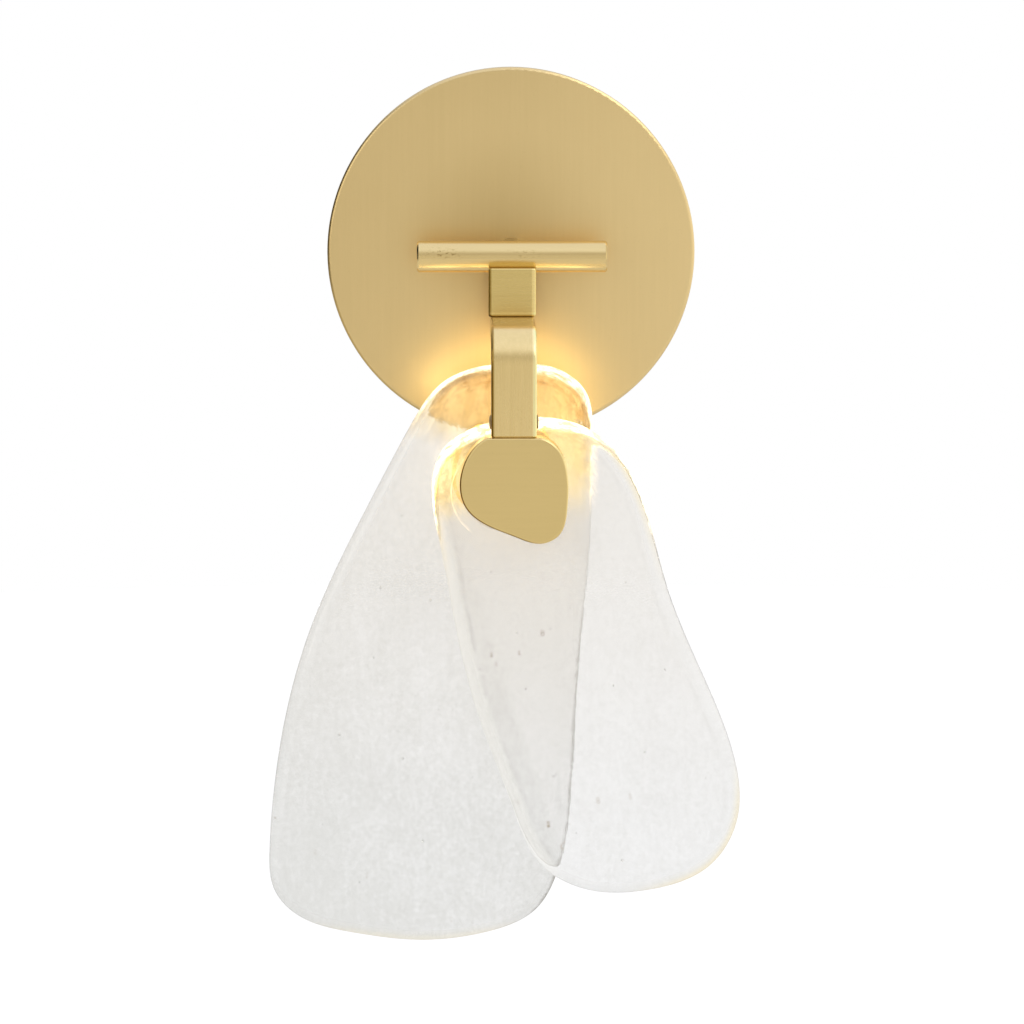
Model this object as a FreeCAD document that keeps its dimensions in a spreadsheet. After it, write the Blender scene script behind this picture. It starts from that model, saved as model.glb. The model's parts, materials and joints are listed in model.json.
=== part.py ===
import FreeCAD, Part
import math
import os
import Sketcher
from FreeCAD import Placement, Rotation, Vector

# A wall sconce: two thick cast-glass petals clamped under a brass arm.
# Frame: the wall is the plane Y = 0, the lamp stands out towards -Y, Z is up.
# "out" below is a distance from the wall, "across" is X and "up" is Z.
# The origin is the middle of the wall fixing.

SIZES = {
    # canopy: a pan that covers the wall box
    "canopy_diameter": 190.5,
    "canopy_depth": 22.0,
    "canopy_wall": 1.5,
    "canopy_edge_radius": 2.0,
    "canopy_screw_out": 8.0,
    "canopy_screw_diameter": 4.0,
    "canopy_screw_length": 8.0,
    "canopy_nut_width": 7.0,
    "canopy_nut_thickness": 3.2,
    # strap on the wall box
    "strap_thickness": 2.0,
    "strap_width": 30.0,
    "strap_tab_height": 14.0,
    "strap_tab_gap": 5.7,
    "strap_bend_radius": 3.0,
    "strap_slot_spacing": 79.5,
    "strap_slot_length": 14.5,
    "strap_slot_width": 5.0,
    "strap_window_diameter": 24.0,
    "ground_screw_inset": 28.0,
    "ground_screw_diameter": 4.0,
    # terminal block for the supply wires
    "terminal_inset": 23.0,
    "terminal_width": 26.0,
    "terminal_height": 17.0,
    "terminal_depth": 13.0,
    "terminal_entry_diameter": 3.4,
    "terminal_pitch": 7.5,
    # lamp driver inside the canopy
    "driver_width": 70.0,
    "driver_height": 30.0,
    "driver_depth": 15.0,
    "driver_up": 43.0,
    "driver_ear_length": 9.0,
    "driver_ear_thickness": 2.0,
    "driver_stud_diameter": 3.0,
    "driver_stud_length": 7.5,
    # hollow fixings that carry the lead
    "nipple_diameter": 8.0,
    "nipple_bore": 5.0,
    "nipple_tail": 8.5,
    "nipple_washer_diameter": 24.0,
    "nipple_washer_thickness": 1.5,
    "nipple_nut_width": 13.0,
    "nipple_nut_thickness": 5.0,
    "nipple_end_gap": 3.2,
    # standoff, cross rod and block
    "standoff_diameter": 15.0,
    "rod_reach": 36.0,
    "rod_diameter": 16.0,
    "rod_length": 96.6,
    "rod_chamfer": 0.8,
    "block_width": 24.0,
    "block_height": 24.6,
    "block_depth": 24.0,
    "block_lap": 2.7,
    "block_edge_radius": 1.0,
    # bent hollow arm
    "arm_width": 22.4,
    "arm_thickness": 12.0,
    "arm_wall": 1.8,
    "arm_edge_radius": 1.3,
    "arm_reach": 115.0,
    "arm_bend_radius": 13.0,
    "arm_drop": 54.1,
    "arm_end_chamfer": 0.5,
    "arm_bolt_head_width": 12.0,
    "arm_bolt_head_height": 3.0,
    "arm_dowel_diameter": 3.0,
    "arm_dowel_length": 8.0,
    "arm_dowel_offset": 8.0,
    "arm_cap_thickness": 2.5,
    "access_hole_diameter": 14.0,
    # pebble that closes the arm and clamps the glass
    "pebble_width": 53.4,
    "pebble_height": 52.6,
    "pebble_thickness": 14.0,
    "pebble_edge_radius": 1.2,
    "joint_gap": 0.3,
    "tongue_length": 18.0,
    "tongue_screw_rise": 7.0,
    "tongue_screw_diameter": 4.0,
    "tongue_screw_length": 6.2,
    "tongue_screw_head": 7.0,
    "tongue_screw_head_height": 1.0,
    "lead_bore": 5.0,
    # clamp stack behind the pebble
    "clamp_across": -4.0,
    "clamp_drop": 30.7,
    "stud_diameter": 10.0,
    "stud_engagement": 9.5,
    "dowel_diameter": 6.0,
    "dowel_bore": 4.0,
    "dowel_rise": 16.0,
    "dowel_seat": 5.0,
    "sleeve_wall": 1.75,
    "gasket_thickness": 1.0,
    "gasket_inset": 2.0,
    "glass_thickness": 12.0,
    "glass_edge_radius": 5.7,
    "back_petal_width": 164.6,
    "back_petal_height": 296.7,
    "front_petal_width": 154.1,
    "front_petal_height": 241.0,
    "rear_disc_diameter": 44.0,
    "rear_disc_thickness": 4.0,
    "rear_washer_diameter": 20.0,
    "rear_washer_thickness": 1.5,
    "cap_nut_width": 17.0,
    "cap_nut_height": 7.0,
    # lamp drum between the petals
    "drum_plate_thickness": 2.0,
    "drum_core_thickness": 12.0,
    "drum_shift_across": -4.1,
    "drum_shift_up": 2.4,
    "drum_core_inset": 9.0,
    "led_strip_width": 10.0,
    "led_strip_thickness": 0.6,
    "led_length": 3.5,
    "led_width": 2.8,
    "led_height": 0.8,
    "diffuser_inset": 1.0,
    "diffuser_wall": 2.0,
    # lead and fits
    "lead_diameter": 2.5,
    "supply_lead_diameter": 2.4,
    "fit_gap": 0.1,
    "hole_clearance": 0.4,
}
LED_COUNT = 14

# The pebble's edge as fractions of its width (from the left) and height (from
# the top), from the right end of its flat top round to the left end.
PEBBLE_FRACTIONS = [
    (0.747, 0.0), (0.912, 0.11), (0.994, 0.351), (0.993, 0.67), (0.92, 0.917),
    (0.762, 1.0), (0.515, 0.938), (0.262, 0.833), (0.055, 0.663), (0.0, 0.484),
    (0.034, 0.262), (0.13, 0.093), (0.257, 0.0),
]

# Each petal's edge as fractions of its width and height, and where in them
# the clamp stud passes.
BACK_PETAL_FRACTIONS = [
    (0.762, 0.0), (0.902, 0.012), (0.983, 0.052), (1.0, 0.115), (0.993, 0.297),
    (0.962, 0.496), (0.941, 0.701), (0.911, 0.846), (0.823, 0.949), (0.67, 0.987),
    (0.464, 1.0), (0.252, 0.986), (0.084, 0.955), (0.015, 0.912), (0.0, 0.84),
    (0.021, 0.708), (0.124, 0.466), (0.312, 0.241), (0.44, 0.108), (0.543, 0.032),
]
BACK_PETAL_STUD = (0.7315, 0.2127)
FRONT_PETAL_FRACTIONS = [
    (0.355, 0.0), (0.491, 0.02), (0.614, 0.089), (0.698, 0.207), (0.763, 0.356),
    (0.873, 0.529), (0.975, 0.693), (0.995, 0.845), (0.907, 0.943), (0.705, 0.995),
    (0.504, 0.994), (0.358, 0.944), (0.257, 0.813), (0.153, 0.634), (0.069, 0.419),
    (0.023, 0.257), (0.0, 0.149), (0.036, 0.066), (0.121, 0.026), (0.238, 0.004),
]
FRONT_PETAL_STUD = (0.2375, 0.1614)

doc = FreeCAD.newDocument("ShellSconce")
sheet = doc.addObject("Spreadsheet::Sheet", "Sizes")
for row, (alias, length) in enumerate(SIZES.items(), start=1):
    sheet.set(f"A{row}", alias)
    sheet.set(f"B{row}", str(length))
    sheet.setAlias(f"B{row}", alias)
doc.recompute()
nodes = []


class Size:
    """A length worked out from the sheet: its formula and its present value."""

    def __init__(self, text, value):
        self.text = text
        self.value = value

    def __add__(self, other):
        other = as_size(other)
        return Size(f"({self.text} + {other.text})", self.value + other.value)

    def __sub__(self, other):
        other = as_size(other)
        return Size(f"({self.text} - {other.text})", self.value - other.value)

    def __mul__(self, factor):
        return Size(f"({self.text} * {factor})", self.value * factor)

    def __truediv__(self, divisor):
        return Size(f"({self.text} / {divisor})", self.value / divisor)

    def __neg__(self):
        return Size(f"(0 - {self.text})", -self.value)


def as_size(length):
    """A plain number as a Size; a Size stays as it is."""
    if isinstance(length, Size):
        return length
    return Size(str(length), length)


class Sheet:
    """Gives each cell of the sheet by its alias."""

    def __getattr__(self, alias):
        return Size(f"Sizes.{alias}", sheet.get(alias))


size = Sheet()
ZERO = as_size(0)

# Places worked out from the sizes
canopy_radius = size.canopy_diameter / 2
canopy_inside_out = size.canopy_depth - size.canopy_wall
rod_out = size.canopy_depth + size.rod_reach
rod_radius = size.rod_diameter / 2
block_top = size.block_lap - rod_radius
block_bottom = block_top - size.block_height
arm_level = block_bottom - size.arm_thickness / 2
arm_front_out = size.canopy_depth + size.arm_reach
arm_leg_out = arm_front_out - size.arm_thickness / 2
arm_rear_out = rod_out - size.block_depth / 2
arm_end = block_bottom - size.arm_drop
arm_inside_width = size.arm_width - size.arm_wall * 2
arm_inside_thickness = size.arm_thickness - size.arm_wall * 2
arm_ceiling = block_bottom - size.arm_wall
pebble_top = arm_end - size.joint_gap
pebble_centre_up = pebble_top - size.pebble_height / 2
pebble_back_out = arm_front_out - size.pebble_thickness
clamp_up = pebble_top - size.clamp_drop
dowel_across = ZERO
dowel_up = clamp_up + size.dowel_rise
tongue_screw_up = arm_end + size.tongue_screw_rise
front_glass_out = pebble_back_out - size.gasket_thickness - size.glass_thickness
drum_front_out = front_glass_out - size.gasket_thickness
drum_core_out = drum_front_out - size.drum_plate_thickness - size.drum_core_thickness
drum_rear_out = drum_core_out - size.drum_plate_thickness
drum_across = size.drum_shift_across
drum_up = pebble_centre_up + size.drum_shift_up
back_glass_out = drum_rear_out - size.gasket_thickness - size.glass_thickness
rear_disc_out = back_glass_out - size.gasket_thickness - size.rear_disc_thickness
rear_washer_out = rear_disc_out - size.rear_washer_thickness
stud_hole_diameter = size.stud_diameter + size.hole_clearance
dowel_hole_diameter = size.dowel_diameter + size.hole_clearance
stud_sleeve_diameter = stud_hole_diameter + size.sleeve_wall * 2
dowel_sleeve_diameter = dowel_hole_diameter + size.sleeve_wall
driver_out = canopy_inside_out - size.driver_depth
driver_stud_across = (size.driver_width + size.driver_ear_length) / 2
driver_bottom = size.driver_up - size.driver_height / 2
strap_reach = canopy_radius - size.canopy_wall - size.strap_tab_gap
ground_screw_across = strap_reach - size.ground_screw_inset
terminal_across = strap_reach - size.terminal_inset
strap_lead_out = driver_out + size.driver_depth / 5

# Depth of a lead in its entry, and the bends of the leads inside the lamp
LEAD_ENTRY = 3
CANOPY_TURN = 5
ROD_TURN = 4.5
BLOCK_TURN = 3.5
PEBBLE_TURN = 4.5
DRUM_TURN = 4
SUPPLY_TURN = 3


def bind(thing, name, length):
    """Ties one property of an object to its formula."""
    thing.setExpression(name, as_size(length).text)


def keep(part, label):
    """Names a finished sub-part and adds it to those that are written out."""
    part.Label = label
    nodes.append(part)
    return part


def new_body(label):
    return keep(doc.addObject("PartDesign::Body", label), label)


def new_sketch(body, role, lift=ZERO):
    """A sketch on a plane of the body, lifted along the plane's normal."""
    sketch = body.newObject("Sketcher::SketchObject", body.Label + "_sketch")
    plane = [each for each in body.Origin.OriginFeatures if each.Role == role][0]
    sketch.AttachmentSupport = (plane, [""])
    sketch.MapMode = "FlatFace"
    bind(sketch, ".AttachmentOffset.Base.z", lift)
    return sketch


def rule(sketch, constraint, length):
    """Adds a dimension whose value is a formula."""
    number = sketch.addConstraint(constraint)
    bind(sketch, f"Constraints[{number}]", length)


def pin_point(sketch, item, end, x, y):
    """Fixes one point of a sketch item by its two distances from the origin."""
    rule(sketch, Sketcher.Constraint("DistanceX", -1, 1, item, end, x.value), x)
    rule(sketch, Sketcher.Constraint("DistanceY", -1, 1, item, end, y.value), y)


def draw_circle(sketch, x, y, diameter):
    x, y, diameter = as_size(x), as_size(y), as_size(diameter)
    centre = Vector(x.value, y.value, 0)
    item = sketch.addGeometry(Part.Circle(centre, Vector(0, 0, 1), diameter.value / 2), False)
    rule(sketch, Sketcher.Constraint("Diameter", item, diameter.value), diameter)
    pin_point(sketch, item, 3, x, y)


def draw_polygon(sketch, corners):
    """A closed outline of straight lines through the corners."""
    corners = [(as_size(x), as_size(y)) for x, y in corners]
    points = [Vector(x.value, y.value, 0) for x, y in corners]
    items = []
    for start, end in zip(points, points[1:] + points[:1]):
        items.append(sketch.addGeometry(Part.LineSegment(start, end), False))
    for item, following in zip(items, items[1:] + items[:1]):
        sketch.addConstraint(Sketcher.Constraint("Coincident", item, 2, following, 1))
    for item, (x, y) in zip(items, corners):
        pin_point(sketch, item, 1, x, y)


def draw_rectangle(sketch, x, y, width, height):
    """A rectangle about a centre."""
    x, y, width, height = as_size(x), as_size(y), as_size(width), as_size(height)
    left, right = x - width / 2, x + width / 2
    low, high = y - height / 2, y + height / 2
    draw_polygon(sketch, [(left, low), (right, low), (right, high), (left, high)])


def draw_rounded(sketch, centres, radius):
    """Equal arcs about the centres, counterclockwise, joined by tangent lines."""
    centres = [(as_size(x), as_size(y)) for x, y in centres]
    points = [Vector(x.value, y.value, 0) for x, y in centres]
    offsets = []
    for start, end in zip(points, points[1:] + points[:1]):
        along = (end - start).normalize()
        offsets.append(Vector(along.y, -along.x, 0) * radius.value)
    arcs = []
    lines = []
    for number, centre in enumerate(points):
        before, after = offsets[number - 1], offsets[number]
        circle = Part.Circle(centre, Vector(0, 0, 1), radius.value)
        first = math.atan2(before.y, before.x)
        last = math.atan2(after.y, after.x)
        arcs.append(sketch.addGeometry(Part.ArcOfCircle(circle, first, last), False))
        ahead = points[(number + 1) % len(points)]
        lines.append(sketch.addGeometry(Part.LineSegment(centre + after, ahead + after), False))
    for number, (arc, line) in enumerate(zip(arcs, lines)):
        next_arc = arcs[(number + 1) % len(arcs)]
        sketch.addConstraint(Sketcher.Constraint("Tangent", arc, 2, line, 1))
        sketch.addConstraint(Sketcher.Constraint("Tangent", line, 2, next_arc, 1))
    for arc, (x, y) in zip(arcs, centres):
        pin_point(sketch, arc, 3, x, y)
        rule(sketch, Sketcher.Constraint("Radius", arc, radius.value), radius)


def draw_rounded_rectangle(sketch, x, y, width, height, radius):
    x, y, radius = as_size(x), as_size(y), as_size(radius)
    half_width = width / 2 - radius
    half_height = height / 2 - radius
    draw_rounded(sketch, [
        (x - half_width, y - half_height), (x + half_width, y - half_height),
        (x + half_width, y + half_height), (x - half_width, y + half_height),
    ], radius)


def draw_slot(sketch, x, y, length, width):
    half_run = (length - width) / 2
    draw_rounded(sketch, [(x - half_run, y), (x + half_run, y)], width / 2)


def draw_route(sketch, corners, radii):
    """An open line of straight legs at right angles with an arc at each turn."""
    corners = [(as_size(x), as_size(y)) for x, y in corners]
    legs = []
    for number in range(len(corners) - 1):
        (x0, y0), (x1, y1) = corners[number], corners[number + 1]
        step_x = (x1.value > x0.value + 1e-6) - (x1.value < x0.value - 1e-6)
        step_y = (y1.value > y0.value + 1e-6) - (y1.value < y0.value - 1e-6)
        trim_start = as_size(radii[number - 1]) if number > 0 else ZERO
        trim_end = as_size(radii[number]) if number < len(radii) else ZERO
        start = (x0 + trim_start * step_x, y0 + trim_start * step_y)
        end = (x1 - trim_end * step_x, y1 - trim_end * step_y)
        ends = [Vector(x.value, y.value, 0) for x, y in (start, end)]
        leg = sketch.addGeometry(Part.LineSegment(*ends), False)
        pin_point(sketch, leg, 1, *start)
        pin_point(sketch, leg, 2, *end)
        legs.append((leg, ends, Vector(step_x, step_y, 0)))
    for (leg, ends, way), (after, after_ends, after_way) in zip(legs, legs[1:]):
        radius = (after_ends[0] - ends[1]).Length / math.sqrt(2)
        centre = ends[1] + after_way * radius
        middle = centre + (way - after_way).normalize() * radius
        arc = sketch.addGeometry(Part.Arc(ends[1], middle, after_ends[0]), False)
        turns_left = way.x * after_way.y - way.y * after_way.x > 0
        first, last = (1, 2) if turns_left else (2, 1)
        sketch.addConstraint(Sketcher.Constraint("Tangent", leg, 2, arc, first))
        sketch.addConstraint(Sketcher.Constraint("Coincident", arc, last, after, 1))


def edge_points(edge, left, top, width, height):
    """The points of an edge given as fractions of its width and height."""
    return [Vector(left + u * width, top - v * height, 0) for u, v in edge]


def draw_pebble(sketch, across, up, width, height):
    """The pebble's outline about a centre: a flat top and one smooth curve."""
    left, top = (across - width / 2).value, (up + height / 2).value
    points = edge_points(PEBBLE_FRACTIONS, left, top, width.value, height.value)
    curve = Part.BSplineCurve()
    curve.interpolate(Points=points)
    side = sketch.addGeometry(curve, False)
    sketch.addConstraint(Sketcher.Constraint("Block", side))
    flat = sketch.addGeometry(Part.LineSegment(points[-1], points[0]), False)
    sketch.addConstraint(Sketcher.Constraint("Coincident", side, 2, flat, 1))
    sketch.addConstraint(Sketcher.Constraint("Coincident", flat, 2, side, 1))


def draw_petal(sketch, edge, stud, width, height):
    """A petal's outline, a closed smooth curve hung about the clamp stud."""
    left = size.clamp_across.value - stud[0] * width.value
    top = clamp_up.value + stud[1] * height.value
    curve = Part.BSplineCurve()
    points = edge_points(edge, left, top, width.value, height.value)
    curve.interpolate(Points=points, PeriodicFlag=True)
    item = sketch.addGeometry(curve, False)
    sketch.addConstraint(Sketcher.Constraint("Block", item))


def pad(body, sketch, length, symmetric=False):
    feature = body.newObject("PartDesign::Pad", body.Label + "_pad")
    feature.Profile = sketch
    bind(feature, "Length", length)
    if symmetric:
        feature.SideType = "Symmetric"
    doc.recompute()
    return feature


def pocket(body, sketch, length=None, forward=False):
    """Cuts against the plane's normal, with it, or, with no length, both ways."""
    before = body.Shape.Volume
    feature = body.newObject("PartDesign::Pocket", body.Label + "_pocket")
    feature.Profile = sketch
    if length is None:
        feature.Type = "ThroughAll"
        feature.SideType = "Symmetric"
    else:
        bind(feature, "Length", length)
        feature.Reversed = forward
    doc.recompute()
    if feature.Shape.Volume > before - 1e-3:
        raise RuntimeError(f"a pocket of {body.Label} cuts nothing")
    return feature


def ease(body, kind, name, length, wanted):
    """Fillets or chamfers the edges of the body that the test picks out."""
    base = body.Tip
    edges = [f"Edge{number}" for number, edge in enumerate(base.Shape.Edges, start=1) if wanted(edge)]
    if not edges:
        raise RuntimeError(f"no edge of {body.Label} to ease")
    feature = body.newObject(f"PartDesign::{kind}", body.Label + "_ease")
    feature.Base = (base, edges)
    bind(feature, name, length)
    doc.recompute()
    return feature


def fillet(body, radius, wanted):
    return ease(body, "Fillet", "Radius", radius, wanted)


def chamfer(body, length, wanted):
    return ease(body, "Chamfer", "Size", length, wanted)


def lies_at_out(out):
    """Tests whether an edge lies in the plane that far from the wall."""
    def test(edge):
        box = edge.BoundBox
        return abs(box.YMin + out.value) < 1e-4 and abs(box.YMax + out.value) < 1e-4
    return test


def lies_at_level(up):
    """Tests whether an edge lies in the level plane of that height."""
    def test(edge):
        box = edge.BoundBox
        return abs(box.ZMin - up.value) < 1e-4 and abs(box.ZMax - up.value) < 1e-4
    return test


def runs_along(axis):
    """Tests whether an edge is straight and runs along one axis."""
    def test(edge):
        box = edge.BoundBox
        spans = {"X": box.XLength, "Y": box.YLength, "Z": box.ZLength}
        length = spans.pop(axis)
        return length > 0.5 and max(spans.values()) < 1e-4
    return test


def place(part, across, out, up, turn=None):
    """Puts a part at a place, turned from its own upright axis."""
    part.Placement = Placement(Vector(0, 0, 0), turn or Rotation())
    bind(part, "Placement.Base.x", across)
    bind(part, "Placement.Base.y", -as_size(out))
    bind(part, "Placement.Base.z", up)


# Turns that lay a part's own +Z axis outwards, to the wall, and to the right
OUTWARDS = Rotation(Vector(1, 0, 0), 90)
WALLWARDS = Rotation(Vector(1, 0, 0), -90)
RIGHTWARDS = Rotation(Vector(0, 1, 0), 90)


def turned(label, profile, across, out, up, turn=None):
    """A lathe-turned piece: (radius, height) corners revolved about its axis."""
    body = new_body(label)
    sketch = new_sketch(body, "XZ_Plane")
    draw_polygon(sketch, profile)
    feature = body.newObject("PartDesign::Revolution", label + "_turning")
    feature.Profile = sketch
    feature.ReferenceAxis = (sketch, ["V_Axis"])
    feature.Angle = 360
    place(body, across, out, up, turn)
    return body


def ring_profile(outer, inner, length):
    """The corners of a plain ring or tube of two diameters."""
    return [(inner / 2, 0), (outer / 2, 0), (outer / 2, length), (inner / 2, length)]


def cylinder(name, diameter, length, across, out, up, turn=None):
    rod = doc.addObject("Part::Cylinder", name)
    bind(rod, "Radius", diameter / 2)
    bind(rod, "Height", length)
    place(rod, across, out, up, turn)
    return rod


def hexagon(name, width, length, across, out, up, turn=None):
    """A hexagonal prism, its width measured across the flats."""
    prism = doc.addObject("Part::Prism", name)
    prism.Polygon = 6
    bind(prism, "Circumradius", width / math.sqrt(3))
    bind(prism, "Height", length)
    place(prism, across, out, up, turn)
    return prism


def block(name, across, out, up, width, depth, height):
    """A box about a centre across and up, standing out from a plane."""
    box = doc.addObject("Part::Box", name)
    bind(box, "Length", width)
    bind(box, "Width", depth)
    bind(box, "Height", height)
    place(box, as_size(across) - width / 2, out + depth, as_size(up) - height / 2)
    return box


def cut(name, base, tool):
    result = doc.addObject("Part::Cut", name)
    result.Base = base
    result.Tool = tool
    return result


def fuse(name, *shapes):
    result = doc.addObject("Part::MultiFuse", name)
    result.Shapes = list(shapes)
    return result


def pair(label, part):
    """The part and its mirror image across X = 0, as one group of two solids."""
    other = doc.addObject("Part::Mirroring", label + "_left")
    other.Source = part
    other.Normal = Vector(1, 0, 0)
    group = doc.addObject("Part::Compound", label)
    group.Links = [part, other]
    return keep(group, label)


def group(label, parts):
    result = doc.addObject("Part::Compound", label)
    result.Links = parts
    return keep(result, label)


def swept(body, profile, route):
    feature = body.newObject("PartDesign::AdditivePipe", body.Label + "_sweep")
    feature.Profile = profile
    feature.Spine = (route, [""])
    doc.recompute()
    return feature


def make_canopy():
    body = new_body("canopy")
    disc = new_sketch(body, "XZ_Plane")
    draw_circle(disc, 0, 0, size.canopy_diameter)
    pad(body, disc, size.canopy_depth)
    fillet(body, size.canopy_edge_radius, lies_at_out(size.canopy_depth))
    inside = new_sketch(body, "XZ_Plane")
    draw_circle(inside, 0, 0, size.canopy_diameter - size.canopy_wall * 2)
    pocket(body, inside, canopy_inside_out, forward=True)
    nipple_hole = new_sketch(body, "XZ_Plane")
    draw_circle(nipple_hole, 0, 0, size.nipple_diameter + size.hole_clearance)
    pocket(body, nipple_hole)
    screw_holes = new_sketch(body, "YZ_Plane")
    draw_circle(screw_holes, -size.canopy_screw_out, 0, size.canopy_screw_diameter + size.hole_clearance)
    pocket(body, screw_holes)


def make_canopy_fixings():
    """The square nuts brazed inside the rim and the socket screws in them."""
    nut_reach = canopy_radius - size.canopy_wall - size.fit_gap - size.canopy_nut_thickness / 2
    hole = size.canopy_screw_diameter + size.fit_gap
    nut = block(
        "canopy_nut_blank", nut_reach, size.canopy_screw_out - size.canopy_nut_width / 2, 0,
        size.canopy_nut_thickness, size.canopy_nut_width, size.canopy_nut_width)
    drill = cylinder(
        "canopy_nut_drill", hole, size.canopy_nut_thickness * 3,
        nut_reach - size.canopy_nut_thickness * 1.5, size.canopy_screw_out, 0, RIGHTWARDS)
    pair("canopy_nuts", cut("canopy_nut", nut, drill))
    screw_start = canopy_radius - size.fit_gap * 3 - size.canopy_screw_length
    shank = cylinder(
        "canopy_screw_shank", size.canopy_screw_diameter, size.canopy_screw_length,
        screw_start, size.canopy_screw_out, 0, RIGHTWARDS)
    socket = hexagon(
        "canopy_screw_socket", size.canopy_screw_diameter / 2, size.canopy_screw_length,
        screw_start + size.canopy_screw_length * 0.7, size.canopy_screw_out, 0, RIGHTWARDS)
    pair("canopy_set_screws", cut("canopy_screw", shank, socket))


def make_strap():
    """The bent strap that is screwed to the wall box and carries the canopy."""
    body = new_body("mounting_strap")
    thickness, tab = size.strap_thickness, size.strap_tab_height
    profile = new_sketch(body, "XY_Plane")
    draw_polygon(profile, [
        (-strap_reach, 0), (-strap_reach, -tab), (thickness - strap_reach, -tab),
        (thickness - strap_reach, -thickness), (strap_reach - thickness, -thickness),
        (strap_reach - thickness, -tab), (strap_reach, -tab), (strap_reach, 0)])
    pad(body, profile, size.strap_width, symmetric=True)

    def is_outer_bend(edge):
        box = edge.BoundBox
        at_corner = abs(abs(box.XMin) - strap_reach.value) < 1e-4 and abs(box.YMax) < 1e-4
        return runs_along("Z")(edge) and at_corner

    fillet(body, size.strap_bend_radius, is_outer_bend)

    def is_inner_bend(edge):
        box = edge.BoundBox
        inner = abs(abs(box.XMin) - (strap_reach - thickness).value) < 1e-4
        return runs_along("Z")(edge) and inner and abs(box.YMax + thickness.value) < 1e-4

    fillet(body, size.strap_bend_radius - thickness, is_inner_bend)
    openings = new_sketch(body, "XZ_Plane")
    draw_circle(openings, 0, 0, size.strap_window_diameter)
    half = size.strap_slot_spacing / 2
    draw_slot(openings, half, ZERO, size.strap_slot_length, size.strap_slot_width)
    draw_slot(openings, -half, ZERO, size.strap_slot_length, size.strap_slot_width)
    draw_circle(openings, -ground_screw_across, 0, size.ground_screw_diameter + size.fit_gap)
    draw_circle(openings, terminal_across, 0, size.driver_stud_diameter + size.fit_gap)
    pocket(body, openings)
    tab_holes = new_sketch(body, "YZ_Plane")
    draw_circle(tab_holes, -size.canopy_screw_out, 0, size.canopy_screw_diameter + size.hole_clearance)
    pocket(body, tab_holes)


def screw_profile(diameter, length, head_diameter, head_height):
    """A screw with a low domed head, its shank below zero and its head above."""
    return [
        (0, -length), (diameter / 2, -length), (diameter / 2, 0), (head_diameter / 2, 0),
        (head_diameter / 2, head_height * 0.5), (head_diameter * 0.38, head_height * 0.88),
        (head_diameter * 0.2, head_height), (0, head_height)]


def make_strap_fittings():
    """The earth screw, the terminal block and its screw, all on the strap."""
    flush = size.strap_thickness - size.fit_gap
    turned(
        "ground_screw", screw_profile(size.ground_screw_diameter, flush, size.ground_screw_diameter * 2,
                                      size.ground_screw_diameter * 0.6),
        -ground_screw_across, size.strap_thickness, 0, OUTWARDS)
    body = new_body("terminal_block")
    base = new_sketch(body, "XZ_Plane", size.strap_thickness)
    draw_rounded_rectangle(
        base, terminal_across, 0, size.terminal_width, size.terminal_height, size.strap_thickness / 2)
    pad(body, base, size.terminal_depth)
    head_seat = size.terminal_depth / 2
    well = new_sketch(body, "XZ_Plane", size.strap_thickness + head_seat)
    draw_circle(well, terminal_across, 0, size.driver_stud_diameter * 2)
    pocket(body, well, size.terminal_depth, forward=True)
    drill = new_sketch(body, "XZ_Plane")
    draw_circle(drill, terminal_across, 0, size.driver_stud_diameter + size.hole_clearance)
    pocket(body, drill)
    top = new_sketch(body, "XY_Plane", size.terminal_height / 2)
    for step in (-1, 1):
        draw_circle(
            top, terminal_across + size.terminal_pitch * step,
            -strap_lead_out, size.terminal_entry_diameter)
    pocket(body, top, size.terminal_height / 4)
    low = new_sketch(body, "XY_Plane", -size.terminal_height / 2)
    for step in (-1, 1):
        draw_circle(
            low, terminal_across + size.terminal_pitch * step,
            -strap_lead_out, size.terminal_entry_diameter)
    pocket(body, low, size.terminal_height / 4, forward=True)
    turned(
        "terminal_screw", screw_profile(size.driver_stud_diameter, flush + head_seat,
                                        size.driver_stud_diameter * 1.8, size.driver_stud_diameter * 0.6),
        terminal_across, size.strap_thickness + head_seat, 0, OUTWARDS)


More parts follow.
